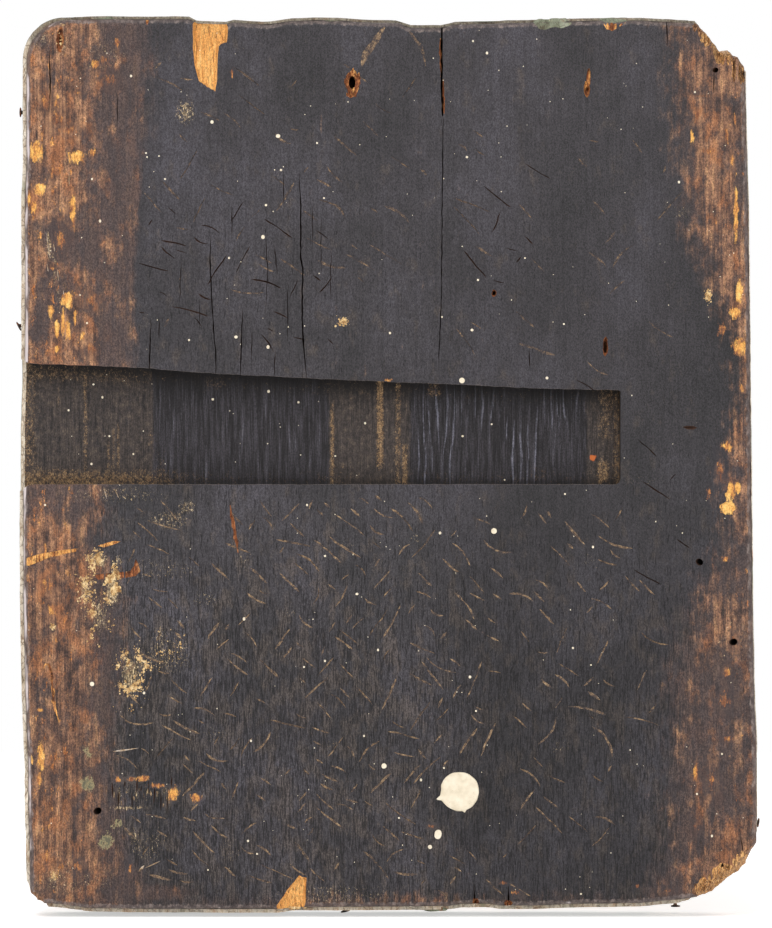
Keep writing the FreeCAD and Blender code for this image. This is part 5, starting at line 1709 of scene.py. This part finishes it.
mound_paint = made("mound_paint_shape", *upright(*hand_drawn(
    steps + [(-x, z) for x, z in reversed(steps)], 0.00015, 405), FIELD - HIDDEN, FIELD + MOTIF),
                   [mound_green])
for i, body in enumerate((cross_paint, halo_gilding, mound_paint)):
    chance = np.random.default_rng(41 + i)
    worn_spots = []
    for _ in range(26):
        size = chance.uniform(0.0004, 0.0013)
        worn_spots.append((chance.uniform(-0.045, 0.045), chance.uniform(0.034, 0.214), size,
                           size * chance.uniform(0.7, 1.6)))
    carve_apart(body, worn_spots, front_reach,
                lambda spot, j: front_loss(*spot, FIELD - 0.001, 410 + 60 * i + 2 * j))
    body.data.set_sharp_from_angle(angle=math.radians(30))
    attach(body, "root")
for body, node, slot in ((cross_paint, "cross_paint", "cross_brown"),
                         (halo_gilding, "halo_gilding", "halo_gold"),
                         (mound_paint, "mound_paint", "mound_green")):
    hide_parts(node)

# The edge nails. Small hand-forged iron nails that held a metal cover, broken off or bent over in the
# side edges: a hammered head on a square shank that tapers to a blunt point.
def rusted_iron():
    """Forged iron, blackened, with scale and orange rust."""
    f = Finish("rusted_iron")
    scale = f.cloud((0.5, 0.5, 0.5), 421, detail=5, bite=0.7)
    rust = f.between(f.cloud((0.9, 0.9, 0.9), 422, detail=5), 0.48, 0.60)
    colour = f.blend(rust, f.grade(scale, [(0.35, dye(30, 26, 26)), (0.65, dye(72, 62, 58))]),
                     f.grade(scale, [(0.35, dye(84, 46, 28)), (0.65, dye(138, 78, 42))]))
    return f.laid(colour, f.sum(f.times(scale, 0.4), 0.5), scale, 0.00012, Specular_IOR_Level=0.4)


nail_finish = rusted_iron()


def forged_nail(name, seat, outwards, lean, seed):
    """A nail with its head's underside at seat. lean turns the head about Y, as it was bent over."""
    outwards = np.array(outwards, float)
    side = np.array((0.0, 1.0, 0.0))
    over = np.cross(outwards, side)
    turn = turns(24)
    chance = np.random.default_rng(seed)
    hammered = (1 + 0.07 * np.cos(3 * turn + chance.uniform(0, 6))
                + 0.05 * np.cos(5 * turn + chance.uniform(0, 6)))
    square = 1 / np.maximum(abs(np.cos(turn)), abs(np.sin(turn))) ** 0.8
    profile = [(0.00050, 0.0004, 0), (0.00047, 0.0010, 0), (0.00038, 0.00135, 0), (0.00022, 0.00148, 0),
               (0.00006, 0.00142, 0), (-0.00002, 0.0011, 0), (-0.00015, 0.00062, 0.6), (-0.0006, 0.0005, 1),
               (-0.0025, 0.00048, 1), (-0.005, 0.00042, 1), (-0.0075, 0.00026, 1), (-0.009, 0.0001, 1)]
    bend = math.radians(lean)
    rings = []
    for height, radius, squareness in profile:
        shape = hammered * (1 - squareness) + square * 0.95 * squareness
        ring = (np.outer(np.cos(turn) * radius * shape, side) + np.outer(np.sin(turn) * radius * shape, over)
                + height * outwards)
        share = 1.0 if height > -0.0001 else max(0.0, 1 + height / 0.0008)
        c, s = math.cos(bend * share), math.sin(bend * share)
        x, z = ring[:, 0] * c + ring[:, 2] * s, -ring[:, 0] * s + ring[:, 2] * c
        rings.append(np.stack([x, ring[:, 1], z], -1) + np.array(seat, float))
    nail = made(name + "_forged", *lofted(np.array(rings)), [nail_finish])
    nail.data.set_sharp_from_angle(angle=math.radians(50))
    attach(nail, "root")
    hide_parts(name)


nail_y = GROUND_FRONT - 0.008
nails = [("edge_nail_left_upper", (21.0, 109), (-1, 0, 0), 0.0013, 0),
         ("edge_nail_left_middle", (20.5, 324.5), (-1, 0, 0), 0.0014, -27),
         ("edge_nail_right_lower", (758.0, 826), (1, 0, 0), 0.0010, 8),
         ("edge_nail_bottom_left", (344.5, 911), (0, 0, -1), 0.0011, -12),
         ("edge_nail_bottom_right", (678, 904), (0, 0, -1), 0.0017, 0)]
for i, (name, place, outwards, gap, lean) in enumerate(nails):
    x, z = placed(*place)
    left, right, bottom, top = edges_at(x, z)
    x = left if outwards[0] < 0 else right if outwards[0] > 0 else x
    z = bottom if outwards[2] < 0 else z
    forged_nail(name, (x + outwards[0] * gap, nail_y, z + outwards[2] * gap), outwards, lean, 430 + i)

# Spilt cream paint. Limewash or oil paint that dripped onto the back long after it was made: one
# large puddle with a run, small drops, and a fine spatter.
def cream_paint():
    """Old cream oil paint, slightly glossy, with a yellowed skin and dust in its surface."""
    f = Finish("cream_paint")
    skin_tone = f.cloud((2.6, 2.6, 2.6), 441, detail=4)
    speck = f.cloud((0.35, 0.35, 0.35), 442, detail=3)
    colour = f.grade(skin_tone, [(0.35, dye(214, 200, 174)), (0.52, dye(227, 214, 190)),
                                 (0.68, dye(234, 223, 202))])
    colour = f.blend(f.between(speck, 0.68, 0.74), colour, dye(168, 140, 100))
    return f.laid(colour, f.sum(f.times(skin_tone, 0.2), 0.3), skin_tone, 0.00006, Specular_IOR_Level=0.4)


drops = [
    (459.5, 791.5, 19.6, 0.00042, 3), (438, 834.5, 4.2, 0.00030, 2), (430, 847, 2.1, 0.0002, 1),
    (384, 766, 2.6, 0.00026, 1), (462, 380.5, 2.8, 0.0003, 1),
    (494, 531, 2.9, 0.00035, 1), (92, 684, 2.2, 0.0002, 1),
]


def puddle(column, row, radius, height, lobes, seed):
    """A flattened drop with a soft rounded rim, standing on the back."""
    x, z = placed(column, row)
    turn = turns(120)
    rough = ragged_round(turn, 0.016, 0.012, 0.2, seed)
    if lobes == 3:
        for direction, reach, width in ((199, 0.24, 5), (284, 0.11, 4), (174, -0.04, 9)):
            off = (np.degrees(turn) - direction + 180) % 360 - 180
            rough = rough + reach * np.exp(-(off / width) ** 2)
    elif lobes == 2:
        rough = rough * (1 - 0.15 * np.cos(2 * turn + 0.3))
    rings = []
    for share, rise in ((1.0, -0.00025), (1.0, 0.15), (0.985, 0.6), (0.95, 0.9), (0.88, 1.0), (0.7, 0.92),
                        (0.4, 0.82), (0.12, 0.8)):
        ring_x = x + np.cos(turn) * radius * ELEMENT * rough * share
        ring_z = z + np.sin(turn) * radius * ELEMENT * rough * share
        lift = rise if rise < 0 else rise * height
        rings.append(np.stack([ring_x, skin(ring_x, ring_z) - lift, ring_z], -1))
    return lofted(np.array(rings))


cream = cream_paint()
paint_drops = made("paint_drops", *joined([puddle(*drop, 450 + 2 * i) for i, drop in enumerate(drops)]),
                   [cream])
paint_drops.data.set_sharp_from_angle(angle=math.radians(60))
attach(paint_drops, "root")

spatter = [
    (131, 76, 1.5), (212, 122, 2.2), (278, 136, 3.0), (146, 153, 1.3), (147, 157, 1.0), (159, 156, 1.2),
    (281, 170, 1.6), (92, 179, 1.3), (165, 179, 1.4), (100, 221, 1.6), (266, 205, 1.6), (263, 237, 2.4),
    (229, 258, 1.4), (324, 198, 1.3), (317, 143, 1.2), (473, 41, 1.3), (487, 53, 1.6), (467, 157, 1.6),
    (679, 182, 1.6), (525, 258, 1.3), (478, 280, 1.5), (695, 92, 1.2), (236, 337, 2.3), (268, 347, 2.0),
    (268, 391, 1.8), (212, 399, 1.8), (298, 402, 1.5), (101, 397, 1.4), (67, 410, 1.3), (365, 423, 1.3),
    (132, 454, 1.3), (335, 456, 1.3), (90, 464, 1.5), (108, 436, 1.3), (70, 436, 1.2), (92, 384, 1.4),
    (87, 323, 1.3), (45, 505, 1.4), (390, 333, 1.5), (80, 295, 1.2), (189, 340, 1.3), (307, 505, 1.3),
    (325, 556, 1.5), (357, 594, 2.0), (244, 619, 1.8), (378, 650, 1.5), (325, 661, 1.4), (304, 667, 1.3),
    (144, 693, 1.6), (251, 741, 1.3), (364, 736, 1.3), (248, 841, 1.5), (257, 854, 1.3), (208, 870, 1.2),
    (547, 378, 1.8), (492, 424, 1.4), (463, 436, 1.6), (505, 480, 1.4), (565, 494, 1.3), (440, 533, 1.7),
    (564, 324, 1.3), (442, 317, 1.2), (472, 330, 2.0), (593, 547, 1.5), (573, 648, 1.4), (591, 665, 1.3),
    (470, 677, 1.8), (476, 711, 1.3), (444, 768, 1.4), (421, 780, 1.5), (399, 818, 1.3), (581, 894, 1.3),
    (697, 794, 1.4), (712, 836, 1.4), (722, 754, 1.3),
]
chance = np.random.default_rng(68)
fine = [(chance.uniform(26, 745), chance.uniform(30, 895), chance.uniform(0.35, 0.8)) for _ in range(260)]
dot_column, dot_row, dot_radius = np.array(spatter + fine).T
dot_x, dot_z = placed(dot_column, dot_row)
in_channel = (dot_row > np.interp(dot_column, lip_columns, lip_rows)) & (dot_row < 484) & (dot_column < 620)
dot_y = np.where(in_channel, BACK + GROOVE_DEPTH, back_at(dot_x, dot_z))


def strewn(name, places, sizes, speck, stretch, tumble, smooth, finish, amounts):
    """Like specks on a row of places, as one plain mesh.

    Each is scaled by its own size, stretched along Z by a random share and tumbled by random angles.
    amounts holds the tree's inputs: how thick a speck is for its width, how far noise shoves its
    surface about in metres, and the seed.
    """
    points = bpy.data.meshes.new(name)
    points.from_pydata(np.stack(places, -1).tolist(), [], [])
    points.attributes.new("speck_size", "FLOAT", "POINT").data.foreach_set(
        "value", sizes.astype(np.float32))
    body = bpy.data.objects.new(name, points)
    bpy.context.scene.collection.objects.link(body)

    tree = bpy.data.node_groups.new(name, "GeometryNodeTree")
    tree.interface.new_socket("Geometry", in_out="INPUT", socket_type="NodeSocketGeometry")
    inputs = {label: tree.interface.new_socket(
        label, in_out="INPUT", socket_type="NodeSocketInt" if label == "Seed" else "NodeSocketFloat")
        for label in amounts}
    tree.interface.new_socket("Geometry", in_out="OUTPUT", socket_type="NodeSocketGeometry")
    given = step(tree, "NodeGroupInput").outputs
    kind, measures = speck
    shape = step(tree, kind, {"Radius": 1.0, **measures}).outputs["Mesh"]
    size = step(tree, "GeometryNodeInputNamedAttribute", {"Name": "speck_size"},
                data_type="FLOAT").outputs["Attribute"]
    share = step(tree, "FunctionNodeRandomValue", {"Min": stretch[0], "Max": stretch[1],
                                                   "Seed": given["Seed"]}, data_type="FLOAT")
    spin = step(tree, "FunctionNodeRandomValue", {"Min": (0.0, 0.0, 0.0), "Max": tumble,
                                                  "Seed": given["Seed"]}, data_type="FLOAT_VECTOR")
    thick = step(tree, "ShaderNodeMath", {0: size, 1: given["Flatness"]}, operation="MULTIPLY")
    high = step(tree, "ShaderNodeMath", {0: size, 1: share.outputs["Value"]}, operation="MULTIPLY")
    scale = step(tree, "ShaderNodeCombineXYZ", {"X": size, "Y": thick.outputs[0], "Z": high.outputs[0]})
    laid = step(tree, "GeometryNodeInstanceOnPoints", {
        "Points": given["Geometry"], "Instance": shape, "Scale": scale.outputs[0],
        "Rotation": spin.outputs["Value"]})
    whole = step(tree, "GeometryNodeRealizeInstances", {0: laid.outputs["Instances"]})
    noise = step(tree, "ShaderNodeTexNoise", {"Scale": 4200.0}).outputs["Color"]
    centred = step(tree, "ShaderNodeVectorMath", {0: noise, 1: (0.5, 0.5, 0.5)}, operation="SUBTRACT")
    shove = step(tree, "ShaderNodeVectorMath", {0: centred.outputs[0], "Scale": given["Raggedness"]},
                 operation="SCALE")
    ragged = step(tree, "GeometryNodeSetPosition", {"Geometry": whole.outputs[0],
                                                    "Offset": shove.outputs[0]})
    shaded = step(tree, "GeometryNodeSetShadeSmooth", {"Geometry": ragged.outputs[0],
                                                       "Shade Smooth": smooth})
    dressed = step(tree, "GeometryNodeSetMaterial", {"Geometry": shaded.outputs[0], "Material": finish})
    step(tree, "NodeGroupOutput", {0: dressed.outputs[0]})

    strewing = body.modifiers.new(name, "NODES")
    strewing.node_group = tree
    for label, amount in amounts.items():
        strewing[inputs[label].identifier] = amount
    plain = bpy.data.meshes.new_from_object(body.evaluated_get(bpy.context.evaluated_depsgraph_get()))
    body.modifiers.remove(strewing)
    body.data = plain
    bpy.data.meshes.remove(points)
    return body


DOME = ("GeometryNodeMeshUVSphere", {"Segments": 14, "Rings": 8})
paint_spatter = strewn("paint_spatter", (dot_x, dot_y, dot_z), dot_radius * ELEMENT * 0.78, DOME,
                       (0.8, 1.25), (0.0, 0.0, 0.0), True, cream,
                       {"Flatness": 0.35, "Raggedness": 0.0, "Seed": 7})
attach(paint_spatter, "root")

# Crumbs of old limewash stuck to the left of the back, where a thick patch was scraped away: thin
# irregular flakes scattered by a seed, crowded in two patches and around two lumps.
def limewash():
    """Yellowed limewash, chalky, with brown dirt in its hollows."""
    f = Finish("limewash")
    tone = f.cloud((1.2, 1.2, 1.6), 471, detail=6, bite=0.75)
    colour = f.grade(tone, [(0.38, dye(134, 98, 62)), (0.48, dye(190, 154, 104)), (0.58, dye(222, 194, 146)),
                            (0.70, dye(238, 222, 186))])
    return f.laid(colour, f.sum(f.times(tone, 0.2), 0.7), tone, 0.00015, Specular_IOR_Level=0.15)


crumb_patches = [
    (112, 588, 7.5, 19, 950), (99, 562, 12, 9, 380), (86, 588, 8, 15, 260), (97, 622, 9, 18, 190),
    (130, 676, 11, 22, 640), (140, 664, 9, 6, 140), (708, 296, 3.4, 5.0, 170), (53, 627, 2.4, 2.6, 80),
    (300, 908, 12, 1.6, 60), (54, 876, 4, 4, 70), (61, 38, 4, 14, 24), (165, 648, 18, 18, 90),
    (343.5, 321.5, 4.4, 3.8, 150)]
chance = np.random.default_rng(53)
crumb_column, crumb_row = [], []
for column, row, half_width, half_height, count in crumb_patches:
    while count:
        a, b = chance.normal(0, 0.55, 2)
        here = column + a * half_width, row + b * half_height
        clump = drift(here[0] * 0.001, here[1] * 0.001, 0.008, 0.011, 58) + 0.8 * drift(
            here[0] * 0.001, here[1] * 0.001, 0.003, 0.004, 59)
        if half_width > 5 and clump < chance.uniform(-0.1, 0.5):
            continue
        crumb_column.append(here[0])
        crumb_row.append(here[1])
        count -= 1
crumb_x, crumb_z = placed(crumb_column, crumb_row)
crumb_size = chance.gamma(2.6, 0.000062, len(crumb_x)).clip(0.00006, 0.00042)
CHIP = ("GeometryNodeMeshIcoSphere", {"Subdivisions": 1})
limewash_crumbs = strewn("limewash_crumbs", (crumb_x, skin(crumb_x, crumb_z) - 0.00001, crumb_z), crumb_size,
                         CHIP, (0.5, 1.3), (0.25, 6.283, 0.25), False, limewash(),
                         {"Flatness": 0.5, "Raggedness": 0.00016, "Seed": 3})
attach(limewash_crumbs, "root")
